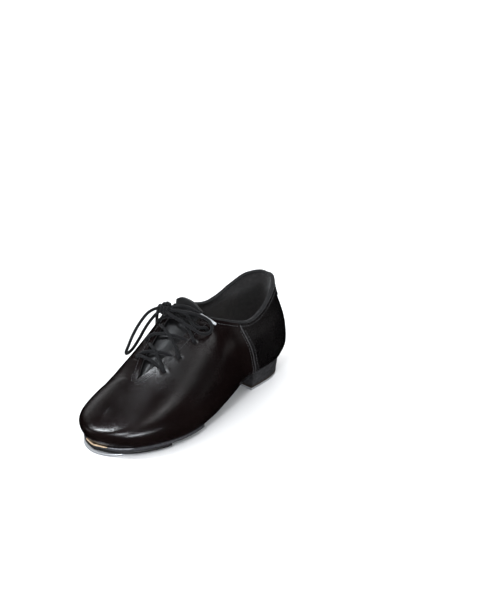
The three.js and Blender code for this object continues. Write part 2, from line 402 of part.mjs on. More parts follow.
// ---------- lace ----------
import Module from 'manifold-3d';
const wasm = await Module(); wasm.setup();
import { mergeVertices } from 'three/addons/utils/BufferGeometryUtils.js';
function toManifold(g) {
  const src = g.index ? g.toNonIndexed() : g, w = new THREE.BufferGeometry().setAttribute('position', src.getAttribute('position')), mg = mergeVertices(w, 1e-3);
  return new wasm.Manifold(new wasm.Mesh({ numProp: 3, vertProperties: mg.attributes.position.array, triVerts: new Uint32Array(mg.index.array) }));
}
function fromManifold(s) {
  const me = s.getMesh(), g = new THREE.BufferGeometry(), n = me.numProp, v = new Float32Array(me.numVert * 3);
  for (let i = 0; i < me.numVert; i++) v.set(me.vertProperties.subarray(i * n, i * n + 3), i * 3);
  g.setAttribute('position', new THREE.BufferAttribute(v, 3)); g.setIndex(new THREE.BufferAttribute(me.triVerts, 1)); g.computeVertexNormals(); return g;
}
const EYE = { 1: [.682, .628, .568, .520], '-1': [.680, .627, .567, .520] }, EYE_V = 1.86, R = LACE_D / 2;
const eye = (side, k, h = R + .45) => onto(side, EYE[side][k], EYE_V, h);
function strand(s0, k0, s1, k1, lift) {
  const a = eye(s0, k0), b = eye(s1, k1), out = [];
  const e0 = onto(s0, (EYE[s0][k0] * .82 + EYE[s0][k1] * .18), 1.97, R + .9), e1 = onto(s1, (EYE[s1][k1] * .82 + EYE[s1][k0] * .18), 1.97, R + .9);
  const mid = e0.clone().add(e1).multiplyScalar(.5).add(V3(0, -lift * .35, lift));
  return tube([a, e0, mid, e1, b].map(p => [p.x, p.y, p.z]), R, 7, 9);
}
const KNOT = [-19.5, -4.5, 97.5];
{
  const parts = [strand(1, 0, -1, 0, 1.2)];
  for (let k = 0; k < 3; k++) { parts.push(strand(1, k, -1, k + 1, 1.6)); parts.push(strand(-1, k, 1, k + 1, 2.6)); }
  const k = V3(...KNOT), a = eye(1, 3), e0 = onto(1, .54, 1.97, R + .9);
  parts.push(tube([[a.x, a.y, a.z], [e0.x, e0.y, e0.z], [-4, 4, 95.4], [-14, -1.5, 97.5]], R, 7, 8));
  const b = eye(-1, 3); parts.push(tube([[b.x, b.y, b.z], [b.x + 3, b.y - 1, b.z + 2.6], [KNOT[0], KNOT[1], KNOT[2]]], R, 7, 4));
  const ball = new THREE.SphereGeometry(1, 12, 8); ball.scale(7.4, 6, 6); ball.rotateX(.45); ball.translate(KNOT[0], KNOT[1], KNOT[2] + .8); parts.push(ball);
  let m = toManifold(parts[0]); for (const p of parts.slice(1)) m = m.add(toManifold(p));
  add('lace', fromManifold(m), M.lace());
}
const LOOP_M = [[-25.6, -9.4, 98.4], [-29.5, -17.0, 96.0], [-33.9, -24.7, 86.7], [-32.8, -35.8, 78.5], [-34.9, -40.3, 68.1], [-39.1, -39.6, 59.4], [-42.5, -34.1, 55.2], [-43.0, -27.0, 56.6], [-41.5, -19.8, 64.1], [-35.9, -16.2, 76.8], [-30.2, -12.4, 87.3], [-27.2, -7.0, 92.6]];
const LOOP_L = [[-11.6, -4.6, 98.6], [-5.0, -3.0, 99.5], [8.8, -1.1, 100.9], [15.0, 5.1, 97.6], [21.8, 10.2, 91.7], [25.6, 8.6, 86.9], [26.4, 2.7, 84.2], [23.2, -3.6, 85.6], [15.1, -6.2, 88.8], [3.4, -6.4, 91.5], [-5.0, -8.8, 95.0], [-11.8, -8.6, 96.6]];
const END_L = [[-12.6, -.6, 100.4], [-6, 2.6, 102.2], [1, 5, 101.6], [7, 7, 99.2], [10.6, 8.4, 97.2]];
const AGLET_L = [[11, 8.6, 96.8], [17.2, 12.6, 92.2], [23.6, 16.8, 87]];
const END_M = [[-27, -1.6, 96.6], [-32.6, 1.4, 95], [-38.4, 4.4, 87], [-42.4, 6.6, 75], [-44, 8, 63.6]];
const AGLET_M = [[-44.1, 8.1, 63.1], [-44.8, 9.2, 52], [-45, 10.2, 41.6]];
add('lace_loop_medial', tube(LOOP_M, R, 8, 22), M.lace());
add('lace_loop_lateral', tube(LOOP_L, R, 8, 20), M.lace());
add('lace_end_lateral', tube(END_L, R, 8, 8), M.lace());
add('lace_end_medial', tube(END_M, R, 8, 12), M.lace());
add('aglet_lateral', tube(AGLET_L, 1.35, 8, 3), M.aglet());
add('aglet_medial', tube(AGLET_M, 1.35, 8, 3), M.aglet());

// ---------- origin: middle of the footprint, on the floor (the lace's free parts not counted) ----------
{
  const box = new THREE.Box3();
  for (const m of group.children) if (!CORD.has(m.name)) { m.geometry.computeBoundingBox(); box.union(m.geometry.boundingBox); }
  for (const m of group.children) m.geometry.translate(-(box.min.x + box.max.x) / 2, -(box.min.y + box.max.y) / 2, -box.min.z);
  group.userData.shift = [-(box.min.x + box.max.x) / 2, -(box.min.y + box.max.y) / 2, -box.min.z];
}

export default group;
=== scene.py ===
import bpy, bmesh, math
import numpy as np
from mathutils import Vector, Matrix


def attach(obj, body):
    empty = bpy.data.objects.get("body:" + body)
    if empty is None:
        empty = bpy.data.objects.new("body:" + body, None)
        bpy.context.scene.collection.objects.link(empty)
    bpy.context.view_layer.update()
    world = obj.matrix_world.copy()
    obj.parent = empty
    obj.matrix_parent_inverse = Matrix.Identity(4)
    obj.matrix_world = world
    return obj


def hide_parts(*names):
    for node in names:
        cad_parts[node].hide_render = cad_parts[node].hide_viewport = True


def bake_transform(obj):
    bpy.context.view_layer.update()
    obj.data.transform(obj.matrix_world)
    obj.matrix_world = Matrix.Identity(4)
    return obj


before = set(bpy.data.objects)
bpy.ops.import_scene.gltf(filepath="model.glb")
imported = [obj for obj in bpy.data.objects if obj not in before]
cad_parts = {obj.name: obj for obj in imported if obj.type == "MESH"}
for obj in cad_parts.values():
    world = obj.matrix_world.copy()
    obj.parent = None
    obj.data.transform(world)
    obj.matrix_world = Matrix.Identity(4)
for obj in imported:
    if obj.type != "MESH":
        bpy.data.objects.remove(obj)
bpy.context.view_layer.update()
SH = np.array([-2.6858959, -0.4500008, 0.0])      # drafting origin to the row frame, mm
MM = 0.001
FRONT, REAR, TIP = "forefoot", "rear_shoe", "tongue_tip"
rng = np.random.default_rng(7)

# ------------------------------------------------------------------ the last's surface (same tables as the CAD)
OUTER = np.array([
  [0.000, 0.0, 118.5, 21.0, 7.0, 17.0, 0.0, 117.5, 95.5, 0.0, -0.10, 1.0, 62],
  [0.055, 13.7, 115.0, 21.0, 6.8, 17.0, 9.0, 115.0, 96.0, 0.02, -0.10, 1.0, 62],
  [0.110, 23.8, 106.2, 21.0, 6.0, 17.0, 19.0, 105.0, 93.0, -0.12, -0.03, 1.0, 62],
  [0.170, 29.0, 92.5, 21.0, 5.0, 17.5, 24.8, 90.5, 85.0, -0.18, 0.00, 1.0, 60],
  [0.235, 30.5, 76.0, 21.0, 5.0, 18.0, 27.2, 75.0, 77.5, -0.22, 0.00, 1.0, 58],
  [0.300, 30.8, 61.5, 20.8, 6.0, 19.0, 28.2, 59.0, 75.2, -0.30, 0.00, 1.0, 52],
  [0.370, 32.0, 40.5, 17.4, 7.5, 20.0, 26.6, 41.5, 80.5, -0.42, 0.00, 0.9, 50],
  [0.440, 35.0, 21.5, 12.6, 8.5, 19.5, 20.2, 25.0, 87.5, -0.75, 0.00, 0.66, 50],
  [0.505, 39.5, 3.0, 9.6, 7.0, 18.0, 11.5, 12.0, 91.0, -0.90, 0.00, 0.45, 55],
  [0.565, 43.5, -14.7, 8.6, 5.6, 16.0, 7.4, -6.0, 82.0, -1.00, 0.02, 0.40, 62],
  [0.625, 46.8, -33.3, 8.6, 4.2, 14.5, 6.0, -25.0, 72.0, -1.00, 0.00, 0.34, 68],
  [0.690, 46.8, -53.0, 8.6, 3.8, 14.0, 2.4, -46.0, 60.6, -1.00, 0.00, 0.20, 70],
  [0.750, 43.0, -70.5, 8.6, 4.2, 13.6, -4.6, -62.0, 52.0, -1.00, 0.05, 0.02, 70],
  [0.810, 36.5, -86.6, 8.6, 4.6, 13.2, -5.0, -74.5, 45.5, -1.00, 0.25, 0.10, 70],
  [0.870, 27.4, -100.8, 8.6, 4.8, 12.8, -5.4, -87.0, 39.6, -1.00, 0.60, 0.24, 70],
  [0.935, 13.7, -112.6, 8.6, 5.2, 12.4, -5.8, -96.0, 35.6, -0.80, 1.20, 0.48, 68],
  [1.000, -6.0, -119.0, 8.6, 5.6, 12.0, -6.1, -101.0, 33.2, 0.00, 1.60, 0.66, 66]])
INNER = np.array([
  [0.000, 0.0, 118.5, 21.0, 7.0, 17.0, 0.0, 117.5, 95.5, 0.0, -0.10, 1.0, 62],
  [0.055, -13.7, 115.0, 21.0, 6.8, 17.0, -9.0, 115.0, 96.0, -0.02, -0.10, 1.0, 62],
  [0.110, -23.4, 106.2, 21.0, 6.0, 17.0, -19.0, 105.0, 93.0, 0.12, -0.03, 1.0, 62],
  [0.170, -28.2, 92.5, 21.0, 5.0, 17.5, -24.8, 90.5, 86.0, 0.18, 0.00, 1.0, 60],
  [0.235, -28.8, 76.0, 21.0, 5.5, 19.0, -27.6, 75.0, 79.5, 0.22, 0.00, 1.0, 56],
  [0.300, -27.6, 61.5, 21.0, 7.0, 20.5, -28.8, 59.0, 77.5, 0.30, 0.00, 1.0, 50],
  [0.370, -25.2, 40.5, 19.4, 8.5, 22.0, -29.4, 41.5, 82.5, 0.42, 0.00, 0.9, 46],
  [0.440, -24.2, 21.5, 16.0, 9.5, 22.5, -28.6, 26.0, 89.5, 0.75, 0.00, 0.66, 46],
  [0.505, -26.0, 3.0, 12.2, 9.5, 21.5, -24.0, 13.0, 94.5, 0.90, 0.00, 0.50, 50],
  [0.565, -30.6, -14.7, 9.3, 8.0, 19.0, -19.4, -6.0, 86.5, 1.00, 0.02, 0.46, 58],
  [0.625, -36.0, -33.3, 8.6, 6.2, 16.5, -17.2, -25.0, 75.5, 1.00, 0.00, 0.40, 66],
  [0.690, -40.2, -53.0, 8.6, 5.0, 15.0, -12.0, -46.0, 62.6, 1.00, 0.00, 0.22, 70],
  [0.750, -41.4, -70.5, 8.6, 4.4, 13.8, -4.6, -62.0, 52.0, 1.00, 0.05, 0.02, 70],
  [0.810, -39.5, -86.6, 8.6, 4.4, 13.2, -5.0, -74.5, 45.5, 1.00, 0.25, 0.10, 70],
  [0.870, -34.0, -100.8, 8.6, 4.6, 12.8, -5.4, -87.0, 39.6, 1.00, 0.60, 0.24, 70],
  [0.935, -22.8, -112.6, 8.6, 5.0, 12.4, -5.8, -96.0, 35.6, 0.80, 1.20, 0.48, 68],
  [1.000, -6.0, -119.0, 8.6, 5.6, 12.0, -6.1, -101.0, 33.2, 0.00, 1.60, 0.66, 66]])
CENTRE = np.array([[0, 0], [0.3, 0.5], [0.5, 3.5], [0.62, 3.5], [0.72, 1.5], [0.85, -2], [1, -6]], float)
SEAM_Q = 0.30


def spline(xs, ys, x):
    x = np.asarray(x, float)
    n = len(xs)
    m = np.zeros(n)
    m[1:-1] = ((ys[2:] - ys[1:-1]) / (xs[2:] - xs[1:-1]) * (xs[1:-1] - xs[:-2]) + (ys[1:-1] - ys[:-2]) / (xs[1:-1] - xs[:-2]) * (xs[2:] - xs[1:-1])) / (xs[2:] - xs[:-2])
    m[0] = (ys[1] - ys[0]) / (xs[1] - xs[0]) * 1.5 - m[1] * 0.5
    m[-1] = (ys[-1] - ys[-2]) / (xs[-1] - xs[-2]) * 1.5 - m[-2] * 0.5
    i = np.clip(np.searchsorted(xs, x, side="right") - 1, 0, n - 2)
    h = xs[i + 1] - xs[i]
    t = (x - xs[i]) / h
    return (2 * t**3 - 3 * t**2 + 1) * ys[i] + (t**3 - 2 * t**2 + t) * h * m[i] + (-2 * t**3 + 3 * t**2) * ys[i + 1] + (t**3 - t**2) * h * m[i + 1]


def bez(a, b, c, d, t):
    t = t[..., None]
    return (1 - t) ** 3 * a + 3 * (1 - t) ** 2 * t * b + 3 * (1 - t) * t * t * c + t**3 * d


def surf(side, q, v):
    """The upper's outer face, mm, drafting frame."""
    q, v = np.broadcast_arrays(np.clip(np.asarray(q, float), 0, 1), np.asarray(v, float))
    T = OUTER if side > 0 else INNER
    c = [spline(T[:, 0], T[:, k], q) for k in range(1, 13)]
    for k in (5, 6, 7):
        c[k] = np.where(q >= 0.75, spline(OUTER[:, 0], OUTER[:, k + 1], q), c[k])
    xf, yf, zf, bl, hm, xt, yt, zt, dx, dy, dz, fa = c
    e = 1e-3
    qa, qb = np.clip(q - e, 0, 1), np.clip(q + e, 0, 1)
    tx = spline(T[:, 0], T[:, 1], qb) - spline(T[:, 0], T[:, 1], qa)
    ty = spline(T[:, 0], T[:, 2], qb) - spline(T[:, 0], T[:, 2], qa)
    w0, w1 = np.clip(1 - q / 0.03, 0, 1), np.clip(1 - (1 - q) / 0.03, 0, 1)
    w = np.maximum(w0, w1)
    n = np.hypot(tx, ty)
    tx, ty = tx / n, ty / n
    ex = np.where(w0 > 0, side * 1.0, np.where(w1 > 0, -side * 1.0, tx))
    tx, ty = tx * (1 - w) + ex * w, ty * (1 - w)
    n = np.hypot(tx, ty)
    tx, ty = tx / n, ty / n
    F = np.stack([xf, yf, zf], -1)
    O = np.stack([-ty * side, tx * side, np.zeros_like(tx)], -1)
    U = np.zeros_like(F)
    U[..., 2] = 1
    M = F + O * bl[..., None] + U * hm[..., None]
    Tp, D = np.stack([xt, yt, zt], -1), np.stack([dx, dy, dz], -1)
    D = D / np.linalg.norm(D, axis=-1, keepdims=True)
    far = np.radians(fa)[..., None]
    dF = O * np.cos(far) + U * np.sin(far)
    zb = (spline(OUTER[:, 0], OUTER[:, 3], q) + spline(INNER[:, 0], INNER[:, 3], q)) / 2
    yb = np.where(yf > 60, 60 + (yf - 60) * 0.83, np.where(yf < -60, -60 + (yf + 60) * 0.9, yf))
    B = np.stack([spline(CENTRE[:, 0], CENTRE[:, 1], q), yb, zb], -1)
    t = np.clip(v, 0, 1)
    L = np.linalg.norm(M - F, axis=-1, keepdims=True)
    a = bez(F, F + dF * L * 0.36, M - U * L * 0.42, M, t)
    t2 = np.clip(v - 1, 0, 1)
    H = np.linalg.norm(Tp - M, axis=-1, keepdims=True)
    vert = np.abs(Tp[..., 2:3] - M[..., 2:3])
    b = bez(M, M + U * np.maximum(vert * 0.55, H * 0.25), Tp - D * H * 0.42, Tp, t2)
    t3 = np.clip(v + 1, 0, 1)
    hB = np.linalg.norm(F - B, axis=-1, keepdims=True)
    soft = (np.clip((66 - fa) / 26, 0, 1) * np.clip((20.5 - zf) / 4, 0, 1))[..., None]
    dr = O * (1 - soft * 0.35) + U * soft * 0.35
    c3 = bez(B, B + (F - B) * 0.33 * np.array([1, 1, 0]), F - dr * hB * 0.25, F, t3)
    return np.where((v >= 1)[..., None], b, np.where((v >= 0)[..., None], a, c3))


def skew(Q, v):
    return Q + 0.058 * np.clip(np.asarray(v) / 2, 0, 1) * np.exp(-(((np.asarray(Q) - 0.30) / 0.075) ** 2))


def normal_at(side, q, v):
    e = 2e-3
    q, v = np.broadcast_arrays(np.asarray(q, float), np.asarray(v, float))
    a, b = surf(side, np.minimum(1, q + e), v), surf(side, np.maximum(0, q - e), v)
    lo = np.maximum(v - e, np.where(v > 1, 1, -1))
    c, d = surf(side, q, np.minimum(2, v + e)), surf(side, q, lo)
    n = np.cross(a - b, c - d)
    n /= np.linalg.norm(n, axis=-1, keepdims=True) + 1e-12
    return -side * n


def onto(side, q, v, h):
    return surf(side, q, v) + normal_at(side, q, v) * h


# ------------------------------------------------------------------ mesh helpers
def m_(p):
    return (np.asarray(p, float) + SH) * MM


def new_object(name, verts, faces, material=None, smooth=True, uv=None):
    """verts already in metres, row frame"""
    me = bpy.data.meshes.new(name)
    me.from_pydata([tuple(map(float, p)) for p in verts], [], [tuple(map(int, f)) for f in faces])
    me.validate()
    if uv is not None:
        layer = me.uv_layers.new(name="UVMap")
        idx = np.zeros(len(me.loops), int)
        me.loops.foreach_get("vertex_index", idx)
        layer.data.foreach_set("uv", uv[idx].astype(np.float32).ravel())
    ob = bpy.data.objects.new(name, me)
    bpy.context.collection.objects.link(ob)
    if smooth:
        me.polygons.foreach_set("use_smooth", [True] * len(me.polygons))
    if material is not None:
        me.materials.append(material)
    return ob


def bake(ob):
    dg = bpy.context.evaluated_depsgraph_get()
    me = bpy.data.meshes.new_from_object(ob.evaluated_get(dg))
    ob.modifiers.clear()
    old = ob.data
    ob.data = me
    bpy.data.meshes.remove(old)
    me.name = ob.name
    return ob


def vertex_normals(V, F):
    N = np.zeros_like(V)
    for f in F:
        f = list(f)
        for k in range(1, len(f) - 1):
            n = np.cross(V[f[k]] - V[f[0]], V[f[k + 1]] - V[f[0]])
            for j in (f[0], f[k], f[k + 1]):
                N[j] += n
    return N / (np.linalg.norm(N, axis=1, keepdims=True) + 1e-12)


class Patch:
    """A piece of the upper's surface on a fine grid, both sides welded where they meet."""

    def __init__(self, Q, V, sides=(1, -1), q_of=skew):
        P, S, A, B, F = [], [], [], [], []
        nq, nv = len(Q), len(V)
        QQ, VV = np.meshgrid(Q, V, indexing="ij")
        for k, side in enumerate(sides):
            q = q_of(QQ, VV)
            P.append(surf(side, q, VV).reshape(-1, 3))
            S.append(np.full(nq * nv, side))
            A.append(q.ravel())
            B.append(VV.ravel())
            for i in range(nq - 1):
                for j in range(nv - 1):
                    a, b, c, d = [k * nq * nv + x for x in (i * nv + j, i * nv + j + 1, (i + 1) * nv + j + 1, (i + 1) * nv + j)]
                    F.append((a, b, c, d) if side > 0 else (a, d, c, b))
        P, S, A, B = np.concatenate(P), np.concatenate(S), np.concatenate(A), np.concatenate(B)
        key = np.round(P / 0.02).astype(np.int64)
        _, first, inv = np.unique(key, axis=0, return_index=True, return_inverse=True)
        inv = inv.ravel()
        self.P, self.S, self.A, self.B = P[first], S[first], A[first], B[first]
        self.F = []
        for f in F:
            g = [int(inv[x]) for x in f]
            h = [g[i] for i in range(4) if g[i] != g[i - 1]]
            if len(set(h)) >= 3:
                self.F.append(h)
        self.N = vertex_normals(self.P, self.F)

    def push(self, d):
        self.P = self.P + self.N * np.asarray(d)[:, None]
        return self

    def renormal(self):
        self.N = vertex_normals(self.P, self.F)
        return self

    def ease(self, w, n=90, swell=0.0):
        """rounds the surface where w is near 1, then gives back, smoothly, the size it lost by that"""
        e = {(min(a, b), max(a, b)) for f in self.F for a, b in zip(f, f[1:] + f[:1])}
        e = np.array(sorted(e))
        i, j = np.r_[e[:, 0], e[:, 1]], np.r_[e[:, 1], e[:, 0]]
        m = len(self.P)
        cnt = np.bincount(i, minlength=m)[:, None]
        P = self.P.copy()
        for _ in range(n):
            mean = np.stack([np.bincount(i, P[j, k], minlength=m) for k in range(3)], 1) / cnt
            P += 0.5 * w[:, None] * (mean - P)
        D = self.P - P
        for _ in range(n):
            D += 0.5 * w[:, None] * (np.stack([np.bincount(i, D[j, k], minlength=m) for k in range(3)], 1) / cnt - D)
        self.P = P + D
        self.renormal()
        self.P = self.P + self.N * (swell * w)[:, None]
        return self.renormal()

    def shell(self, d0, d1):
        """closed solid between depths d0 and d1 below the face; returns verts (metres) and faces"""
        n = len(self.P)
        V = np.concatenate([self.P - self.N * d0, self.P - self.N * d1])
        faces = [tuple(f) for f in self.F] + [tuple(n + x for x in reversed(f)) for f in self.F]
        edges = {}
        for f in self.F:
            for i in range(len(f)):
                a, b = f[i], f[(i + 1) % len(f)]
                if (b, a) in edges:
                    del edges[(b, a)]
                else:
                    edges[(a, b)] = 1
        faces += [(b, a, n + a, n + b) for a, b in edges]
        return m_(V), faces


def crease(P, pts, w, d, ridge=0.0):
    """depth of a soft crease along a polyline pts (mm) at points P"""
    best = np.full(len(P), 1e9)
    fade = np.zeros(len(P))
    pts = np.asarray(pts, float)
    n = len(pts) - 1
    for i in range(n):
        a, b = pts[i], pts[i + 1]
        t = np.clip(((P - a) @ (b - a)) / ((b - a) @ (b - a)), 0, 1)
        r = np.linalg.norm(P - (a + t[:, None] * (b - a)), axis=1)
        s = (i + t) / n
        better = r < best
        best = np.where(better, r, best)
        fade = np.where(better, np.sin(np.pi * np.clip(s, 0, 1)) ** 0.7, fade)
    return fade * (-d * np.exp(-((best / w) ** 2)) + ridge * np.exp(-(((best - 1.9 * w) / (0.9 * w)) ** 2)))


def lumps(P, scale, amp, seed):
    r = np.random.default_rng(seed)
    out = np.zeros(len(P))
    for _ in range(14):
        k = r.normal(size=3)
        k /= np.linalg.norm(k)
        out += np.sin(P @ k * (2 * np.pi / (scale * r.uniform(0.7, 1.5))) + r.uniform(0, 6.28))
    return out / 14**0.5 * amp


def catmull(pts, n):
    """centripetal Catmull-Rom through pts, n points evenly spaced by length"""
    pts = np.asarray(pts, float)
    P = np.vstack([2 * pts[0] - pts[1], pts, 2 * pts[-1] - pts[-2]])
    out = []
    for i in range(1, len(P) - 2):
        p0, p1, p2, p3 = P[i - 1 : i + 3]
        t0 = 0
        t1 = t0 + np.linalg.norm(p1 - p0) ** 0.5
        t2 = t1 + np.linalg.norm(p2 - p1) ** 0.5
        t3 = t2 + np.linalg.norm(p3 - p2) ** 0.5
        for t in np.linspace(t1, t2, 24, endpoint=False):
            a1 = (t1 - t) / (t1 - t0) * p0 + (t - t0) / (t1 - t0) * p1
            a2 = (t2 - t) / (t2 - t1) * p1 + (t - t1) / (t2 - t1) * p2
            a3 = (t3 - t) / (t3 - t2) * p2 + (t - t2) / (t3 - t2) * p3
            b1 = (t2 - t) / (t2 - t0) * a1 + (t - t0) / (t2 - t0) * a2
            b2 = (t3 - t) / (t3 - t1) * a2 + (t - t1) / (t3 - t1) * a3
            out.append((t2 - t) / (t2 - t1) * b1 + (t - t1) / (t2 - t1) * b2)
    out.append(P[-2])
    out = np.array(out)
    d = np.r_[0, np.cumsum(np.linalg.norm(np.diff(out, axis=0), axis=1))]
    s = np.linspace(0, d[-1], n)
    return np.stack([np.interp(s, d, out[:, k]) for k in range(out.shape[1])], -1)


def frames(path, up=(0, 0, 1)):
    """tangent, side and up at each point, turned as little as possible along the path"""
    T = np.gradient(path, axis=0)
    T /= np.linalg.norm(T, axis=1, keepdims=True)
    u = np.asarray(up, float)
    a = np.cross(T[0], u)
    if np.linalg.norm(a) < 1e-6:
        a = np.cross(T[0], (1, 0, 0))
    a /= np.linalg.norm(a)
    A = [a]
    for i in range(1, len(T)):
        a = A[-1] - T[i] * (A[-1] @ T[i])
        a /= np.linalg.norm(a)
        A.append(a)
    A = np.array(A)
    return T, A, np.cross(A, T)


def tube(name, path_mm, r, material, sides=14, step=0.8, ends=True, scale=None, braid=0.0):
    L = np.linalg.norm(np.diff(np.asarray(path_mm, float), axis=0), axis=1).sum()
    n = max(6, int(L / step))
    path = catmull(path_mm, n)
    T, A, B = frames(path)
    s = np.r_[0, np.cumsum(np.linalg.norm(np.diff(path, axis=0), axis=1))]
    V, F, UV = [], [], []
    for i in range(n):
        k = 1.0 if scale is None else scale(s[i] / s[-1])
        e = 1.0
        if ends:
            x = min(s[i], s[-1] - s[i]) / r
            e = math.sqrt(max(0.04, 1 - (1 - min(1, x)) ** 2))
        for j in range(sides + 1):
            th = 2 * math.pi * j / sides
            bump = 1 + braid * max(math.cos(4 * th + s[i] * 2.2), math.cos(4 * th - s[i] * 2.2))
            rr = r * k * e * bump
            V.append(path[i] + rr * (A[i] * math.cos(th) + B[i] * math.sin(th)))
            UV.append((j / sides, s[i] / (2 * math.pi * r)))
    w = sides + 1
    for i in range(n - 1):
        for j in range(sides):
            F.append((i * w + j, i * w + j + 1, (i + 1) * w + j + 1, (i + 1) * w + j))
    c0, c1 = len(V), len(V) + 1
    V += [path[0], path[-1]]
    UV += [(0.5, 0), (0.5, 1)]
    for j in range(sides):
        F.append((c0, j + 1, j))
        F.append((c1, (n - 1) * w + j, (n - 1) * w + j + 1))
    V = m_(V)
    ob = new_object(name, V, F, material, uv=np.array(UV))
    bm = bmesh.new()
    bm.from_mesh(ob.data)
    bmesh.ops.remove_doubles(bm, verts=bm.verts, dist=1e-6)
    bmesh.ops.recalc_face_normals(bm, faces=bm.faces)
    bm.to_mesh(ob.data)
    bm.free()
    ob.data.polygons.foreach_set("use_smooth", [True] * len(ob.data.polygons))
    return ob, m_(path)


def resample_closed(pts, n):
    pts = np.asarray(pts, float)
    k = len(pts)
    ext = np.vstack([pts[-2:], pts, pts[:3]])
    c = catmull(ext, 60 * len(ext))
    # keep the stretch from pts[0] round to pts[0] again
    i0 = np.argmin(np.linalg.norm(c[: len(c) // 3] - pts[0], axis=1))
    i1 = len(c) - len(c) // 3 + np.argmin(np.linalg.norm(c[len(c) - len(c) // 3 :] - pts[0], axis=1))
    c = c[i0:i1]
    d = np.r_[0, np.cumsum(np.linalg.norm(np.diff(c, axis=0), axis=1))]
    s = np.linspace(0, d[-1], n, endpoint=False)
    return np.stack([np.interp(s, d, c[:, j]) for j in range(c.shape[1])], -1)


def offset_loop(pts, d):
    """pts anticlockwise; positive d grows"""
    t = np.roll(pts, -1, axis=0) - np.roll(pts, 1, axis=0)
    t /= np.linalg.norm(t, axis=1, keepdims=True)
    return pts + np.stack([t[:, 1], -t[:, 0]], -1) * d


def ccw(pts):
    pts = np.asarray(pts, float)
    x, y = pts[:, 0], pts[:, 1]
    return pts if (x * np.roll(y, -1) - np.roll(x, -1) * y).sum() > 0 else pts[::-1]


def slab(name, pts, profile, material, top=True, bottom=True, zmap=None):
    """stack of loops: profile is [(z, grow), ...] from the bottom up, closed by a filled face at each end"""
    loops = [np.c_[offset_loop(pts, g), np.full(len(pts), z)] for z, g in profile]
    n = len(pts)
    V = np.vstack(loops)
    F = []
    for i in range(len(loops) - 1):
        for j in range(n):
            F.append((i * n + j, i * n + (j + 1) % n, (i + 1) * n + (j + 1) % n, (i + 1) * n + j))
    F.append(tuple(range(n - 1, -1, -1)))
    F.append(tuple((len(loops) - 1) * n + j for j in range(n)))
    if zmap is not None:
        V = zmap(V)
    ob = new_object(name, m_(V), F, material, smooth=True)
    bm = bmesh.new()
    bm.from_mesh(ob.data)
    caps = [f for f in bm.faces if len(f.verts) > 4]
    for f in caps:
        f.smooth = False
    bm.to_mesh(ob.data)
    bm.free()
    return ob


def cut(ob, cutter):
    mod = ob.modifiers.new("cut", "BOOLEAN")
    mod.operation = "DIFFERENCE"
    mod.object = cutter
    mod.solver = "EXACT"
    bake(ob)
    bpy.data.objects.remove(cutter, do_unlink=True)


def lathe(name, prof, centre, material, seg=32, axis_down=False):
    V, F = [], []
    for r, z in prof:
        for k in range(seg):
            a = 2 * math.pi * k / seg
            V.append((centre[0] + r * math.cos(a), centre[1] + r * math.sin(a), centre[2] + z))
    for i in range(len(prof) - 1):
        for k in range(seg):
            F.append((i * seg + k, i * seg + (k + 1) % seg, (i + 1) * seg + (k + 1) % seg, (i + 1) * seg + k))
    F.append(tuple(range(seg - 1, -1, -1)))
    F.append(tuple((len(prof) - 1) * seg + k for k in range(seg)))
    ob = new_object(name, m_(V), F, material)
    bm = bmesh.new()
    bm.from_mesh(ob.data)
    bmesh.ops.recalc_face_normals(bm, faces=bm.faces)
    bm.to_mesh(ob.data)
    bm.free()
    return ob


def crisp(ob, angle=35):
    """smooth shading with sharp edges kept sharp"""
    bm = bmesh.new()
    bm.from_mesh(ob.data)
    for e in bm.edges:
        if len(e.link_faces) == 2:
            e.smooth = e.calc_face_angle(0) < math.radians(angle)
    for f in bm.faces:
        f.smooth = True
    bm.to_mesh(ob.data)
    bm.free()
    return ob


# ------------------------------------------------------------------ materials
def mat(name, base, rough, metal=0.0, spec=0.5, coat=0.0, coat_rough=0.2, sheen=0.0, sheen_rough=0.5):
    m = bpy.data.materials.new(name)
    m.use_nodes = True
    nt = m.node_tree
    p = nt.nodes["Principled BSDF"]
    p.inputs["Base Color"].default_value = (*base, 1)
    p.inputs["Roughness"].default_value = rough
    p.inputs["Metallic"].default_value = metal
    p.inputs["Specular IOR Level"].default_value = spec
    p.inputs["Coat Weight"].default_value = coat
    p.inputs["Coat Roughness"].default_value = coat_rough
    p.inputs["Sheen Weight"].default_value = sheen
    p.inputs["Sheen Roughness"].default_value = sheen_rough
    return m, nt, p


def coords(nt, kind="Object"):
    t = nt.nodes.new("ShaderNodeTexCoord")
    return t.outputs[kind]


def noise(nt, vec, scale, detail=4, rough=0.55):
    n = nt.nodes.new("ShaderNodeTexNoise")
    n.inputs["Scale"].default_value = scale
    n.inputs["Detail"].default_value = detail
    n.inputs["Roughness"].default_value = rough
    nt.links.new(vec, n.inputs["Vector"])
    return n.outputs["Fac"]


def voronoi(nt, vec, scale, feature="F1"):
    n = nt.nodes.new("ShaderNodeTexVoronoi")
    n.feature = feature
    n.inputs["Scale"].default_value = scale
    nt.links.new(vec, n.inputs["Vector"])
    return n.outputs["Distance"]


def remap(nt, val, a, b, lo, hi):
    n = nt.nodes.new("ShaderNodeMapRange")
    n.inputs["From Min"].default_value = a
    n.inputs["From Max"].default_value = b
    n.inputs["To Min"].default_value = lo
    n.inputs["To Max"].default_value = hi
    nt.links.new(val, n.inputs["Value"])
    return n.outputs["Result"]


def ramp(nt, val, stops):
    n = nt.nodes.new("ShaderNodeValToRGB")
    cr = n.color_ramp
    while len(cr.elements) < len(stops):
        cr.elements.new(0.5)
    for e, (p, c) in zip(cr.elements, stops):
        e.position = p
        e.color = (*c, 1)
    nt.links.new(val, n.inputs["Fac"])
    return n.outputs["Color"]


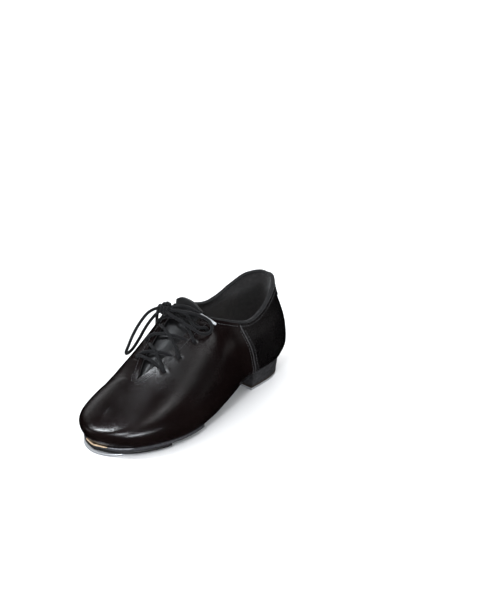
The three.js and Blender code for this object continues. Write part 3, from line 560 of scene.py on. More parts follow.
def mathn(nt, op, a, b=None, c=None):
    n = nt.nodes.new("ShaderNodeMath")
    n.operation = op
    for k, x in enumerate((a, b, c)):
        if x is None:
            continue
        if isinstance(x, (int, float)):
            n.inputs[k].default_value = x
        else:
            nt.links.new(x, n.inputs[k])
    return n.outputs[0]


def bump(nt, height, dist, strength, p, prev=None):
    n = nt.nodes.new("ShaderNodeBump")
    n.inputs["Distance"].default_value = dist
    n.inputs["Strength"].default_value = strength
    nt.links.new(height, n.inputs["Height"])
    if prev is not None:
        nt.links.new(prev, n.inputs["Normal"])
    nt.links.new(n.outputs["Normal"], p.inputs["Normal"])
    return n.outputs["Normal"]


def leather(name, dark, light, rough=(0.34, 0.5), grain=1500, depth=0.00011, coat=0.12, worn=None):
    m, nt, p = mat(name, dark, 0.4, spec=0.5, coat=coat, coat_rough=0.28)
    c = coords(nt)
    big = noise(nt, c, 28, 3)
    fine = noise(nt, c, 900, 6, 0.6)
    nt.links.new(ramp(nt, mathn(nt, "ADD", mathn(nt, "MULTIPLY", big, 0.7), mathn(nt, "MULTIPLY", fine, 0.3)), [(0.36, dark), (0.66, light)]), p.inputs["Base Color"])
    nt.links.new(remap(nt, mathn(nt, "ADD", mathn(nt, "MULTIPLY", noise(nt, c, 60, 4), 0.6), mathn(nt, "MULTIPLY", fine, 0.4)), 0.3, 0.7, rough[0], rough[1]), p.inputs["Roughness"])
    if worn:
        # where the foot bends the leather its finish is broken into fine dull specks
        gap = nt.nodes.new("ShaderNodeVectorMath")
        gap.operation = "DISTANCE"
        nt.links.new(c, gap.inputs[0])
        gap.inputs[1].default_value = worn[0]
        reach = remap(nt, mathn(nt, "ADD", gap.outputs["Value"], mathn(nt, "MULTIPLY", big, 0.012)), worn[1], worn[2], 1, 0)
        specks = mathn(nt, "MULTIPLY", reach, remap(nt, noise(nt, c, 1400, 3, 0.7), 0.35, 0.62, 0.35, 1.0))
        base = p.inputs["Roughness"].links[0].from_socket
        nt.links.new(mathn(nt, "ADD", base, mathn(nt, "MULTIPLY", specks, worn[3])), p.inputs["Roughness"])
    cells = voronoi(nt, c, grain, "DISTANCE_TO_EDGE")
    pores = mathn(nt, "MINIMUM", mathn(nt, "MULTIPLY", cells, 3.0), 0.5)
    b1 = bump(nt, pores, depth, 0.35, p)
    b2 = bump(nt, noise(nt, c, 260, 5, 0.6), 0.00025, 0.22, p, b1)
    bump(nt, noise(nt, c, 45, 2), 0.0006, 0.14, p, b2)
    return m


BLACK = (0.0065, 0.0060, 0.0062)
M_VAMP = leather("leather_vamp", (0.0026, 0.0013, 0.0013), (0.0050, 0.0028, 0.0027), rough=(0.16, 0.25), coat=0.0, worn=((0.026, -0.028, 0.062), 0.020, 0.048, 0.20))
M_QUARTER = leather("leather_quarter", (0.0022, 0.0018, 0.0019), (0.0046, 0.0038, 0.0038), rough=(0.22, 0.34), coat=0.0)
M_TONGUE = leather("leather_tongue", (0.0026, 0.0024, 0.0026), (0.0060, 0.0056, 0.0060), rough=(0.40, 0.54), coat=0.0)


def fabric(name, dark, light, scale=1100, rough=0.85, sheen=0.25):
    m, nt, p = mat(name, dark, rough, spec=0.25, sheen=sheen, sheen_rough=0.4)
    c = coords(nt)
    sep = nt.nodes.new("ShaderNodeSeparateXYZ")
    nt.links.new(c, sep.inputs[0])
    a = mathn(nt, "SINE", mathn(nt, "MULTIPLY", mathn(nt, "ADD", sep.outputs["X"], sep.outputs["Z"]), scale * 6.283))
    b = mathn(nt, "SINE", mathn(nt, "MULTIPLY", mathn(nt, "SUBTRACT", sep.outputs["Y"], sep.outputs["Z"]), scale * 6.283))
    w = mathn(nt, "MULTIPLY", a, b)
    # the weave relief w also tints the colour a little, lighter on the raised threads and darker between them: painted
    # shade; the noise gives random tone
    nt.links.new(ramp(nt, mathn(nt, "ADD", mathn(nt, "MULTIPLY", noise(nt, c, 300, 5), 0.7), mathn(nt, "MULTIPLY", w, 0.12)), [(0.25, dark), (0.6, light)]), p.inputs["Base Color"])
    b1 = bump(nt, w, 0.00012, 0.6, p)
    bump(nt, noise(nt, c, 1800, 3), 0.0002, 0.4, p, b1)
    return m


M_LINING = fabric("lining_textile", (0.016, 0.015, 0.015), (0.034, 0.032, 0.031))
M_BINDING = fabric("binding_tape", (0.0055, 0.0055, 0.006), (0.014, 0.0135, 0.014), scale=1500, sheen=0.1)
M_SOCK = fabric("sock_liner", (0.20, 0.155, 0.105), (0.30, 0.235, 0.165), scale=900)


def braid_mat(name, dark, light):
    m, nt, p = mat(name, dark, 0.72, spec=0.22, sheen=0.06, sheen_rough=0.35)
    uv = coords(nt, "UV")
    sep = nt.nodes.new("ShaderNodeSeparateXYZ")
    nt.links.new(uv, sep.inputs[0])
    u, v = mathn(nt, "MULTIPLY", sep.outputs["X"], 6.0), mathn(nt, "MULTIPLY", sep.outputs["Y"], 5.0)
    a = mathn(nt, "SINE", mathn(nt, "MULTIPLY", mathn(nt, "ADD", u, v), 6.2832))
    b = mathn(nt, "SINE", mathn(nt, "MULTIPLY", mathn(nt, "SUBTRACT", u, v), 6.2832))
    h = mathn(nt, "MAXIMUM", a, b)
    c = coords(nt)
    # the colour follows the braid's relief h, as the bump does: lighter on the crests and darker in the grooves,
    # painted shade; the noise adds random tone
    nt.links.new(ramp(nt, remap(nt, mathn(nt, "ADD", h, mathn(nt, "MULTIPLY", noise(nt, c, 900, 4), 1.2)), -0.4, 2.0, 0, 1), [(0.1, dark), (0.9, light)]), p.inputs["Base Color"])
    b1 = bump(nt, h, 0.00028, 0.8, p)
    bump(nt, noise(nt, c, 3000, 3), 0.00012, 0.5, p, b1)
    return m


M_LACE = braid_mat("lace_braid", (0.0022, 0.0022, 0.0027), (0.0075, 0.0075, 0.0085))
M_THREAD, _nt, _p = mat("thread", (0.010, 0.010, 0.011), 0.55, sheen=0.2)
bump(_nt, noise(_nt, coords(_nt), 4000, 2), 0.0001, 0.5, _p)
nt = _nt
nt.links.new(ramp(nt, noise(nt, coords(nt), 1500, 3), [(0.3, (0.007, 0.007, 0.008)), (0.7, (0.02, 0.02, 0.021))]), _p.inputs["Base Color"])


def rubber(name, dark, light, mesh_scale=None, rough=(0.62, 0.85)):
    m, nt, p = mat(name, dark, 0.75, spec=0.35)
    c = coords(nt)
    n1 = noise(nt, c, 400, 6, 0.65)
    nt.links.new(ramp(nt, n1, [(0.3, dark), (0.72, light)]), p.inputs["Base Color"])
    nt.links.new(remap(nt, noise(nt, c, 90, 4), 0.3, 0.7, rough[0], rough[1]), p.inputs["Roughness"])
    b1 = bump(nt, noise(nt, c, 1300, 5, 0.7), 0.0004, 0.55, p)
    if mesh_scale:
        sep = nt.nodes.new("ShaderNodeSeparateXYZ")
        nt.links.new(c, sep.inputs[0])
        k = mesh_scale * 6.2832
        a = mathn(nt, "ABSOLUTE", mathn(nt, "SINE", mathn(nt, "MULTIPLY", mathn(nt, "ADD", sep.outputs["X"], sep.outputs["Y"]), k)))
        b = mathn(nt, "ABSOLUTE", mathn(nt, "SINE", mathn(nt, "MULTIPLY", mathn(nt, "SUBTRACT", sep.outputs["X"], sep.outputs["Y"]), k)))
        bump(nt, mathn(nt, "MINIMUM", a, b), 0.0006, 0.8, p, b1)
    return m


M_OUTSOLE = rubber("outsole_rubber", (0.020, 0.020, 0.022), (0.046, 0.046, 0.051), mesh_scale=180)
M_HEEL = rubber("heel_stack", (0.008, 0.0078, 0.0082), (0.034, 0.033, 0.035))
M_STIFF = fabric("fibre_board", (0.26, 0.2, 0.13), (0.42, 0.33, 0.22), scale=500, sheen=0)


def board(name, edge_dark, edge_light, wear):
    """lacquered fibre board whose finish has rubbed through to tan in places"""
    m, nt, p = mat(name, edge_dark, 0.5, spec=0.45)
    c = coords(nt)
    n = noise(nt, c, 70, 5, 0.6)
    base = ramp(nt, noise(nt, c, 700, 4), [(0.3, edge_dark), (0.7, edge_light)])
    mix = nt.nodes.new("ShaderNodeMix")
    mix.data_type = "RGBA"
    nt.links.new(remap(nt, n, wear, wear + 0.06, 0, 1), mix.inputs["Factor"])
    nt.links.new(base, mix.inputs["A"])
    nt.links.new(ramp(nt, noise(nt, c, 1200, 4), [(0.3, (0.30, 0.19, 0.095)), (0.7, (0.46, 0.31, 0.17))]), mix.inputs["B"])
    nt.links.new(mix.outputs["Result"], p.inputs["Base Color"])
    nt.links.new(remap(nt, n, 0.35, 0.65, 0.32, 0.6), p.inputs["Roughness"])
    bump(nt, noise(nt, c, 900, 5), 0.0003, 0.35, p)
    return m


M_BOARD = board("tap_board_black", (0.0055, 0.005, 0.005), (0.012, 0.011, 0.011), 0.71)
M_TAN = board("heel_board_dark", (0.016, 0.012, 0.009), (0.042, 0.031, 0.022), 0.62)


def metal(name, base, rough):
    m, nt, p = mat(name, base, 0.4, metal=0.62)
    c = coords(nt)
    n = noise(nt, c, 160, 6, 0.7)
    nt.links.new(ramp(nt, noise(nt, c, 35, 3), [(0.3, tuple(x * 0.88 for x in base)), (0.7, base)]), p.inputs["Base Color"])
    nt.links.new(remap(nt, n, 0.3, 0.7, rough[0], rough[1]), p.inputs["Roughness"])
    st = nt.nodes.new("ShaderNodeMapping")
    st.inputs["Scale"].default_value = (1.0, 0.12, 1.0)
    nt.links.new(c, st.inputs["Vector"])
    b1 = bump(nt, noise(nt, st.outputs["Vector"], 1500, 4, 0.7), 0.00008, 0.35, p)
    bump(nt, noise(nt, c, 500, 4), 0.00010, 0.25, p, b1)
    return m


M_TAP = metal("tap_aluminium", (0.66, 0.67, 0.69), (0.26, 0.44))
M_SCREW = metal("screw_steel", (0.55, 0.555, 0.57), (0.18, 0.34))
M_AGLET, _nt, _p = mat("aglet_film", (0.55, 0.57, 0.59), 0.16, spec=0.6, coat=0.6, coat_rough=0.08)
_p.inputs["Transmission Weight"].default_value = 0.35
_nt.links.new(remap(_nt, noise(_nt, coords(_nt), 300, 3), 0.3, 0.7, 0.10, 0.28), _p.inputs["Roughness"])
_nt.links.new(ramp(_nt, noise(_nt, coords(_nt), 250, 3), [(0.3, (0.42, 0.44, 0.46)), (0.7, (0.66, 0.68, 0.70))]), _p.inputs["Base Color"])
bump(_nt, noise(_nt, coords(_nt), 500, 3), 0.0002, 0.3, _p)
M_WORN = board("edge_tan", (0.42, 0.30, 0.18), (0.66, 0.50, 0.33), .80)
# light grey, glossy edge material: its pale colour is a painted highlight along the top edge of the black sole
M_EDGE_HIGHLIGHT = rubber("edge_painted_highlight", (0.09, 0.092, 0.10), (0.26, 0.265, 0.28), rough=(.24, .42))
# near-black material meant as painted shade inside holes; no piece in this script uses it
M_HOLE_SHADE, _nt, _p = mat("hole_painted_shade", (0.002, 0.002, 0.002), 0.9, spec=0.1)
_nt.links.new(ramp(_nt, noise(_nt, coords(_nt), 800, 3), [(0.3, (0.0015, 0.0015, 0.0015)), (0.7, (0.004, 0.004, 0.004))]), _p.inputs["Base Color"])

# ------------------------------------------------------------------ camera, lights, floor
AZ, EL, ROLL, DIST, FPX = 41.31104, 26.21249, -0.60737, 2307.2563, 2470.1
TXY = (-64.2928, -70.3258)
a, e, r = math.radians(AZ), math.radians(EL), math.radians(ROLL)
back = np.array([math.sin(a) * math.cos(e), -math.cos(a) * math.cos(e), math.sin(e)])
right = np.array([math.cos(a), math.sin(a), 0.0])
up = np.cross(back, right)
Rv, Uv = math.cos(r) * right + math.sin(r) * up, -math.sin(r) * right + math.cos(r) * up
pos = np.array([0, 0, 40.0]) + back * DIST - Rv * (TXY[0] * DIST / FPX) - Uv * (TXY[1] * DIST / FPX)
cam_data = bpy.data.cameras.new("camera")
cam = bpy.data.objects.new("camera", cam_data)
bpy.context.collection.objects.link(cam)
cam_data.sensor_width = 36
cam_data.lens = FPX / 596 * 36
cam_data.clip_start, cam_data.clip_end = 0.05, 50
cam.matrix_world = Matrix(np.vstack([np.c_[Rv, Uv, back, m_(pos)], [0, 0, 0, 1]]).tolist())
bpy.context.scene.camera = cam


def area_light(name, loc, target, size, power, color=(1, 1, 1), size_y=None):
    d = bpy.data.lights.new(name, "AREA")
    d.energy, d.color, d.size = power, color, size
    if size_y:
        d.shape, d.size_y = "RECTANGLE", size_y
    o = bpy.data.objects.new(name, d)
    bpy.context.collection.objects.link(o)
    o.location = loc
    o.rotation_mode = "QUATERNION"
    o.rotation_quaternion = (Vector(target) - Vector(loc)).to_track_quat("-Z", "Y")
    return o


def soft(name, az, el, w_, h_, radiance, color=(1, 1, 1), dist=2.0):
    """softbox seen from the shoe at azimuth az and elevation el, degrees"""
    A_, E_ = math.radians(az), math.radians(el)
    loc = (math.sin(A_) * math.cos(E_) * dist, -math.cos(A_) * math.cos(E_) * dist - .02, math.sin(E_) * dist + .03)
    return area_light(name, loc, (0, -.02, .03), w_, radiance * math.pi * w_ * h_, color, h_)


soft("toe_left", -48, 59, .32, .30, 88, (.90, .95, 1.0))
soft("toe_front", 29, 38, .32, .36, 40, (.90, .94, 1.0))
soft("toe_right", 57, 7, .58, .28, 44, (.90, .94, 1.0))
soft("sheen", 93, 70, .46, .36, 5.0, (.98, .99, 1.0))
soft("left_side", -110, 26, .80, .50, 1.45, (.98, .99, 1.0))
soft("right_back", 140, 10, 1.2, .5, .30, (1, .99, .98))
soft("back", -160, 24, 1.3, .8, 3.2, (1, .99, .98))
soft("medial", -46, 13, .9, .42, 1.3, (.98, .99, 1.0))
fill = area_light("fill", (.1, -.1, 2.6), (.05, 0, 0), 2.4, 30)
fill.visible_glossy = False
w = bpy.data.worlds.new("studio")
bpy.context.scene.world = w
w.use_nodes = True
w.node_tree.nodes["Background"].inputs["Color"].default_value = (0.97, 0.98, 1.0, 1)
w.node_tree.nodes["Background"].inputs["Strength"].default_value = 0.78
w.cycles_visibility.glossy = False
bpy.context.scene.view_settings.view_transform = "Standard"

fm, fnt, fp = mat("floor_pale", (0.86, 0.86, 0.855), 0.6, spec=0.3)
fnt.links.new(ramp(fnt, noise(fnt, coords(fnt), 3, 2), [(0.3, (0.85, 0.85, 0.845)), (0.7, (0.87, 0.87, 0.866))]), fp.inputs["Base Color"])
N = 24
verts, faces = [], []
prof = [(-6.0, 0.0), (3.2, 0.0)] + [(3.2 + 1.0 * math.sin(t), 1.0 - math.cos(t)) for t in np.linspace(0, math.pi / 2, 10)[1:]] + [(4.2, 5.0)]
for s_, z_ in prof:
    for x_ in (-6.0, 6.0):
        p2 = -back * s_
        verts.append((right[0] * x_ - math.sin(a) * s_, right[1] * x_ + math.cos(a) * s_, z_ - 0.0001))
for i in range(len(prof) - 1):
    faces.append((2 * i, 2 * i + 1, 2 * i + 3, 2 * i + 2))
floor = new_object("floor", verts, faces, fm)
floor.visible_glossy = False

# ------------------------------------------------------------------ attaching pieces
def flex(ob, slot, *nodes):
    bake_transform(ob)
    if nodes:
        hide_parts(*nodes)
    return ob


def on(ob, body, slot, *nodes):
    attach(ob, body)
    if nodes:
        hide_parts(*nodes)
    return ob


def joined(name, obs, material=None):
    V, F, UV, off = [], [], [], 0
    for o in obs:
        me = o.data
        V += [tuple(v.co) for v in me.vertices]
        F += [tuple(off + i for i in p.vertices) for p in me.polygons]
        uv = np.zeros((len(me.vertices), 2))
        if me.uv_layers:
            co = np.zeros(len(me.loops) * 2, np.float32)
            me.uv_layers[0].data.foreach_get("uv", co)
            vi = np.zeros(len(me.loops), int)
            me.loops.foreach_get("vertex_index", vi)
            uv[vi] = co.reshape(-1, 2)
        UV.append(uv)
        off += len(me.vertices)
    mat_ = material or obs[0].data.materials[0]
    for o in obs:
        bpy.data.objects.remove(o, do_unlink=True)
    return new_object(name, V, F, mat_, uv=np.vstack(UV))


# ------------------------------------------------------------------ the cords: same routes as the CAD
LACE_R = 1.5
KNOT = np.array([-19.5, -4.5, 97.5])
LOOP_M = [[-25.6, -9.4, 98.4], [-29.5, -17.0, 96.0], [-33.9, -24.7, 86.7], [-32.8, -35.8, 78.5], [-34.9, -40.3, 68.1], [-39.1, -39.6, 59.4], [-42.5, -34.1, 55.2], [-43.0, -27.0, 56.6], [-41.5, -19.8, 64.1], [-35.9, -16.2, 76.8], [-30.2, -12.4, 87.3], [-27.2, -7.0, 92.6]]
LOOP_L = [[-11.6, -4.6, 98.6], [-5.0, -3.0, 99.5], [8.8, -1.1, 100.9], [15.0, 5.1, 97.6], [21.8, 10.2, 91.7], [25.6, 8.6, 86.9], [26.4, 2.7, 84.2], [23.2, -3.6, 85.6], [15.1, -6.2, 88.8], [3.4, -6.4, 91.5], [-5.0, -8.8, 95.0], [-11.8, -8.6, 96.6]]
END_L = [[-12.6, -.6, 100.4], [-6, 2.6, 102.2], [1, 5, 101.6], [7, 7, 99.2], [10.6, 8.4, 97.2]]
AGLET_L = [[11, 8.6, 96.8], [17.2, 12.6, 92.2], [23.6, 16.8, 87]]
END_M = [[-27, -1.6, 96.6], [-32.6, 1.4, 95], [-38.4, 4.4, 87], [-42.4, 6.6, 75], [-44, 8, 63.6]]
AGLET_M = [[-44.1, 8.1, 63.1], [-44.8, 9.2, 52], [-45, 10.2, 41.6]]


def aglet(name, pts):
    r0 = 1.28

    def prof(t):
        return 1.0 + 0.10 * math.exp(-((t - 0.02) / 0.03) ** 2) + 0.06 * math.exp(-((t - 0.97) / 0.02) ** 2)

    ob, _ = tube(name, pts, r0, M_AGLET, sides=18, step=0.4, ends=True, scale=prof)
    return ob


def lace_cord(name, pts, node, into):
    """a free stretch of lace; `into` are points inside the knot that it starts from and, for a loop, goes back to"""
    route = ([into[0]] if into[0] is not None else []) + [list(p) for p in pts] + ([into[1]] if into[1] is not None else [])
    ob, path = tube(name, route, LACE_R, M_LACE, sides=16, step=0.7, braid=0.022)
    flex(ob, "lace_cotton", node)
    return ob


ag_l, ag_m = aglet("aglet_lateral_film", AGLET_L), aglet("aglet_medial_film", AGLET_M)
flex(ag_l, "aglet_film", "aglet_lateral")
flex(ag_m, "aglet_film", "aglet_medial")
k = KNOT
lace_cord("bow_loop_medial", LOOP_M, "lace_loop_medial", ((k + [-2.5, -1.5, 1.2]).tolist(), (k + [-3.5, -1, -2.2]).tolist()))
lace_cord("bow_loop_lateral", LOOP_L, "lace_loop_lateral", ((k + [3, .2, 1.0]).tolist(), (k + [3, -2.2, -.8]).tolist()))
lace_cord("lace_tail_lateral", END_L, "lace_end_lateral", ((k + [.5, 1.2, 1.8]).tolist(), AGLET_L[0]))
lace_cord("lace_tail_medial", END_M, "lace_end_medial", ((k + [-2, 1.2, .2]).tolist(), AGLET_M[0]))

# laced rows: each strand comes up through its own eyelet and goes under the edge of the facing opposite
EYE = {1: [.682, .628, .568, .520], -1: [.680, .627, .567, .520]}
EYE_V = 1.86


def at(side, q, v, h):
    return onto(side, np.array([q]), np.array([v]), h)[0]


def strand(name, s0, k0, s1, k1, lift, top_both=False):
    qa, qb = EYE[s0][k0], EYE[s1][k1]
    hole = at(s0, qa, EYE_V, -2.4)
    a1 = at(s0, qa - .001 * (qa - qb), EYE_V + .012, LACE_R - .1)
    a2 = at(s0, qa * .93 + qb * .07, 1.915, LACE_R + .45)
    e0 = at(s0, qa * .82 + qb * .18, 1.97, LACE_R + .75)
    if top_both:
        e1, b2, b1, end = at(s1, qb * .82 + qa * .18, 1.97, LACE_R + .75), at(s1, qb * .93 + qa * .07, 1.915, LACE_R + .45), at(s1, qb, EYE_V + .012, LACE_R - .1), at(s1, qb, EYE_V, -2.4)
        mid = (e0 + e1) / 2 + np.array([0, -lift * .35, lift])
        pts = [hole, a1, a2, e0, mid, e1, b2, b1, end]
    else:
        e1 = at(s1, qb * .72 + qa * .28, 1.995, .1)
        mid = (e0 + e1) / 2 + np.array([0, -lift * .3, lift + 1.0])
        end = at(s1, qb * .86 + qa * .14, 1.90, -2.8)
        pts = [hole, a1, a2, e0, mid, e1, end]
    ob, _ = tube(name, pts, LACE_R, M_LACE, sides=14, step=0.7, braid=0.022)
    return ob


rows = [strand("s0", 1, 0, -1, 0, 1.4, True)]
for j in range(3):
    rows.append(strand(f"a{j}", 1, j, -1, j + 1, 2.9))
    rows.append(strand(f"b{j}", -1, j, 1, j + 1, 1.5))
a4 = at(1, EYE[1][3], EYE_V, -2.0)
rows.append(tube("c1", [a4, at(1, EYE[1][3], EYE_V + .02, LACE_R), at(1, .54, 1.97, LACE_R + .9), [-4, 4, 95.4], [-12, -1.0, 97.6], [-17, -4, 97.4]], LACE_R, M_LACE, sides=14, step=0.7, braid=0.022)[0])
b4 = at(-1, EYE[-1][3], EYE_V, -2.0)
rows.append(tube("c2", [b4, at(-1, EYE[-1][3], EYE_V + .02, LACE_R), b4 + [4.5, -1, 5.0], k + [-1.5, 0, -1.5]], LACE_R, M_LACE, sides=14, step=0.7, braid=0.022)[0])
flex(joined("lacing", rows), "lace_cotton", "lace")

# the knot: the band that goes round, over the crossed roots of the bows
kn = []
u = np.array([0.86, 0.36, 0.12])
u /= np.linalg.norm(u)                       # across the knot, from one bow to the other
w_ = np.array([0.1, -0.35, 0.93])
w_ -= u * (w_ @ u)
w_ /= np.linalg.norm(w_)
t_ = np.cross(w_, u)
for off, rr, ph in ((-2.2, 4.3, 0.3), (.5, 4.9, 0.9), (2.9, 4.0, 1.6)):
    ring_ = [k + u * (off + 0.9 * math.sin(s + ph)) + w_ * (rr * 1.0 * math.cos(s) + .9) + t_ * rr * 1.05 * math.sin(s) for s in np.linspace(0, 2 * math.pi * 0.97, 14)]
    kn.append(tube("r", ring_, LACE_R * 1.02, M_LACE, sides=14, step=0.6, braid=0.022)[0])
for sgn, dz in ((-1, .4), (1, .5)):
    kn.append(tube("p", [k - u * sgn * 1.5 + w_ * dz, k + u * sgn * 3 + w_ * (dz + .8), k + u * sgn * 6.4 + w_ * .4 - t_ * .8, k + u * sgn * 8.2 - w_ * 1.2 - t_ * 1.2], LACE_R * 1.05, M_LACE, sides=14, step=0.6, braid=0.022)[0])
kn.append(tube("q", [k - u * 4.5 - w_ * 2.6 + t_ * 1.5, k - u * 1 - w_ * 3.0, k + u * 3.5 - w_ * 2.6 - t_ * .6, k + u * 6 - w_ * 3.0], LACE_R, M_LACE, sides=14, step=0.6, braid=0.022)[0])
flex(joined("bow_knot", kn), "lace_cotton")

# ------------------------------------------------------------------ upper
Q_FRONT = np.r_[np.linspace(.30, .50, 46), np.linspace(.50, .76, 78)[1:], np.linspace(.76, 1, 62)[1:]]
V_FRONT = np.r_[np.linspace(-1, -.12, 20), np.linspace(-.12, .12, 10)[1:], np.linspace(.12, 1, 20)[1:], np.linspace(1, 2, 44)[1:]]
L3 = lambda side, qv: np.array([surf(side, np.array(q), np.array(v)) for q, v in qv])


def relief(p):
    P, q, v, s = p.P, p.A, p.B, p.S
    d = (lumps(P, 46, 0.11, 3) + lumps(P, 17, 0.028, 4)) * np.clip((.86 - q) / .10, .25, 1)
    d *= np.clip((1.0 - q) / .12, .15, 1)
    up_ = v > 0.02
    for side, line, wd, dp, rg in (
        (1, [(.652, 1.64), (.640, 1.58), (.628, 1.54)], 1.0, .13, .09),
        (1, [(.636, 1.66), (.625, 1.61), (.616, 1.57)], .9, .10, .07),
        (1, [(.668, 1.58), (.655, 1.52), (.645, 1.48)], 1.1, .10, .07),
        (1, [(.722, 1.66), (.712, 1.46), (.704, 1.26)], 3.6, .10, .06),
        (1, [(.600, .75), (.560, .60), (.520, .56)], 3.4, .18, .1),
        (-1, [(.725, 1.70), (.712, 1.50), (.700, 1.28)], 3.4, .14, .08),
        (-1, [(.668, 1.52), (.655, 1.32), (.648, 1.10)], 2.2, .14, .08),
        (-1, [(.590, .90), (.550, .62), (.500, .50)], 3.6, .28, .15),
        (-1, [(.480, .85), (.450, .62), (.420, .50)], 3.6, .26, .14),
        (1, [(.470, .80), (.430, .58), (.390, .50)], 3.6, .22, .12),
    ):
        m = (s == side) & up_
        if m.any():
            d[m] += crease(P[m], L3(side, line), wd, dp, rg)
    # pulled in a little round each eyelet
    for side in (1, -1):
        for q0 in EYE[side]:
            e_ = surf(side, np.array(q0), np.array(EYE_V))
            r_ = np.linalg.norm(P - e_, axis=1)
            d += np.where(v > 1, -0.55 * np.exp(-((r_ / 2.2) ** 2)) + 0.10 * np.exp(-(((r_ - 4.4) / 1.8) ** 2)), 0)
    # stitched edge of the facings
    edge = (q > .50) & (q < .75) & (v > 1.5)
    dist = (2 - v) * 34
    d += np.where(edge, np.clip((.73 - q) / .07, 0, 1) * (-0.09 * np.exp(-(((dist - 2.4) / .8) ** 2)) + .05 * np.exp(-((dist / 1.2) ** 2))), 0)
    # the raised centre seam and soft folds of the arch
    arch = (v < -.02) & (q < .64)
    fade = np.clip((.63 - q) / .05, 0, 1) * np.clip((q - .305) / .02, 0, 1)
    hc = (v + 1)
    d += np.where(arch, fade * (1.0 * np.exp(-((hc / .045) ** 2)) - .5 * np.exp(-(((hc - .11) / .05) ** 2))), 0)
    d += np.where(arch, fade * .5 * np.sin((q * 150 + s * hc * 5)) * np.exp(-(((hc - .35) / .3) ** 2)) * .6, 0)
    # sinks to the side seam, where the piping sits
    d += np.where(up_, -0.35 * np.exp(-((np.abs(q - skew(.30, v)) / .006) ** 2)) + .16 * np.exp(-(((np.abs(q - skew(.30, v)) - .016) / .008) ** 2)), 0)
    return d


def upper(name, Q, V, sides, slot, node, material, seam, rides, d0=0.0, d1=1.3):
    def q_of(QQ, VV):
        q = skew(QQ, VV)
        return np.where(np.isclose(QQ, SEAM_Q), q + seam, q)

    p = Patch(Q, V, sides, q_of)
    sm = lambda x: np.clip(x, 0, 1) ** 2 * (3 - 2 * np.clip(x, 0, 1))
    p.ease(sm((p.A - .755) / .055) * sm((p.B - .03) / .30), 130, .1)
    p.push(relief(p)).renormal()
    V_, F_ = p.shell(d0, d1)
    ob = new_object(name, V_, F_, material)
    return p, ob


vamp_p, vamp = upper("vamp_leather", Q_FRONT, V_FRONT, (1, -1), "upper_leather", "vamp", M_VAMP, .0016, None)


def eyelet_cutters(obs_):
    V, F = [], []
    for side in (1, -1):
        for q0 in EYE[side]:
            c, n = surf(side, np.array(q0), np.array(EYE_V)), normal_at(side, np.array(q0), np.array(EYE_V))
            a_ = np.cross(n, (0, 0, 1.0))
            a_ /= np.linalg.norm(a_)
            b_ = np.cross(n, a_)
            base = len(V)
            for h in (-2.6, 1.6):
                for j in range(16):
                    th = 2 * math.pi * j / 16
                    V.append(c + n * h + (a_ * math.cos(th) + b_ * math.sin(th)) * 1.9)
            for j in range(16):
                F.append((base + j, base + (j + 1) % 16, base + 16 + (j + 1) % 16, base + 16 + j))
            F.append(tuple(base + j for j in range(15, -1, -1)))
            F.append(tuple(base + 16 + j for j in range(16)))
    ob = new_object("cutter", m_(V), F)
    bm = bmesh.new()
    bm.from_mesh(ob.data)
    bmesh.ops.recalc_face_normals(bm, faces=bm.faces)
    bm.to_mesh(ob.data)
    bm.free()
    return ob


cut(vamp, eyelet_cutters(None))
vamp.data.polygons.foreach_set("use_smooth", [True] * len(vamp.data.polygons))
crisp(vamp, 50)
flex(vamp, "upper_leather", "vamp")

Q_BACK = np.linspace(0, .30, 60)
V_BACK = np.r_[np.linspace(-.3, .12, 10), np.linspace(.12, 1, 20)[1:], np.linspace(1, 2, 40)[1:]]
for side, nm in ((1, "lateral"), (-1, "medial")):
    def q_of(QQ, VV):
        q = skew(QQ, VV)
        return np.where(np.isclose(QQ, SEAM_Q), q - .0016, q)

    p = Patch(Q_BACK, V_BACK, (side,), q_of)
    at_back = p.A < 1e-6
    d = lumps(p.P, 40, .14, 5) * np.clip(p.A / .05, 0, 1)
    d += np.where(p.B > .02, -0.35 * np.exp(-((np.abs(p.A - skew(.30, p.B)) / .006) ** 2)) + .16 * np.exp(-(((np.abs(p.A - skew(.30, p.B)) - .016) / .008) ** 2)), 0)
    d += crease(p.P, L3(side, [(.12, .35), (.17, .30), (.22, .33)]), 2.2, .22, .12)
    d += -0.28 * np.exp(-((p.A / .004) ** 2)) + .10 * np.exp(-(((p.A - .012) / .006) ** 2))
    p.push(d).renormal()
    p.P[at_back, 0] += side * .12
    V_, F_ = p.shell(0, 1.3)
    on(crisp(new_object(f"quarter_{nm}_leather", V_, F_, M_QUARTER), 50), REAR, "upper_leather", f"quarter_{nm}")


# linings: they rise to meet the leather along the top edge
def lining(name, q0, q1, v0, material, nq, nv, seam=0.0, top=1.36, d_in=2.9, t=.7, nodes=(), blend=False, keep=None, qs=None):
    def q_of(QQ, VV):
        q = skew(QQ, VV)
        return np.where(np.isclose(QQ, SEAM_Q), q + seam, q)

    Q = qs if qs is not None else np.linspace(q0, q1, nq)
    p = Patch(Q, np.r_[np.linspace(v0, 1, nv // 3), np.linspace(1, 2, nv)[1:]], (1, -1), q_of)
    k_ = np.clip((p.B - 1.80) / .17, 0, 1)
    k_ = k_ * k_ * (3 - 2 * k_) * np.clip((.76 - p.A) / .03, 0, 1)
    d_ = d_in + (top - d_in) * k_
    V1 = p.P - p.N * d_[:, None]
    V2 = p.P - p.N * (d_ + t)[:, None]
    n = len(V1)
    faces = [tuple(f) for f in p.F] + [tuple(n + x for x in reversed(f)) for f in p.F]
    edges = {}
    for f in p.F:
        for i in range(len(f)):
            a_, b_ = f[i], f[(i + 1) % len(f)]
            if (b_, a_) in edges:
                del edges[(b_, a_)]
            else:
                edges[(a_, b_)] = 1
    faces += [(b_, a_, n + a_, n + b_) for a_, b_ in edges]
    ob = new_object(name, m_(np.vstack([V1, V2])), faces, material)
    return crisp(ob, 50)


flex(lining("vamp_lining_textile", .30, 1, .20, M_LINING, 90, 30, seam=.0013), "lining_textile", "vamp_lining")
on(lining("quarter_lining_textile", 0, .30, .20, M_LINING, 44, 30, seam=-.0013), REAR, "lining_textile", "quarter_lining")


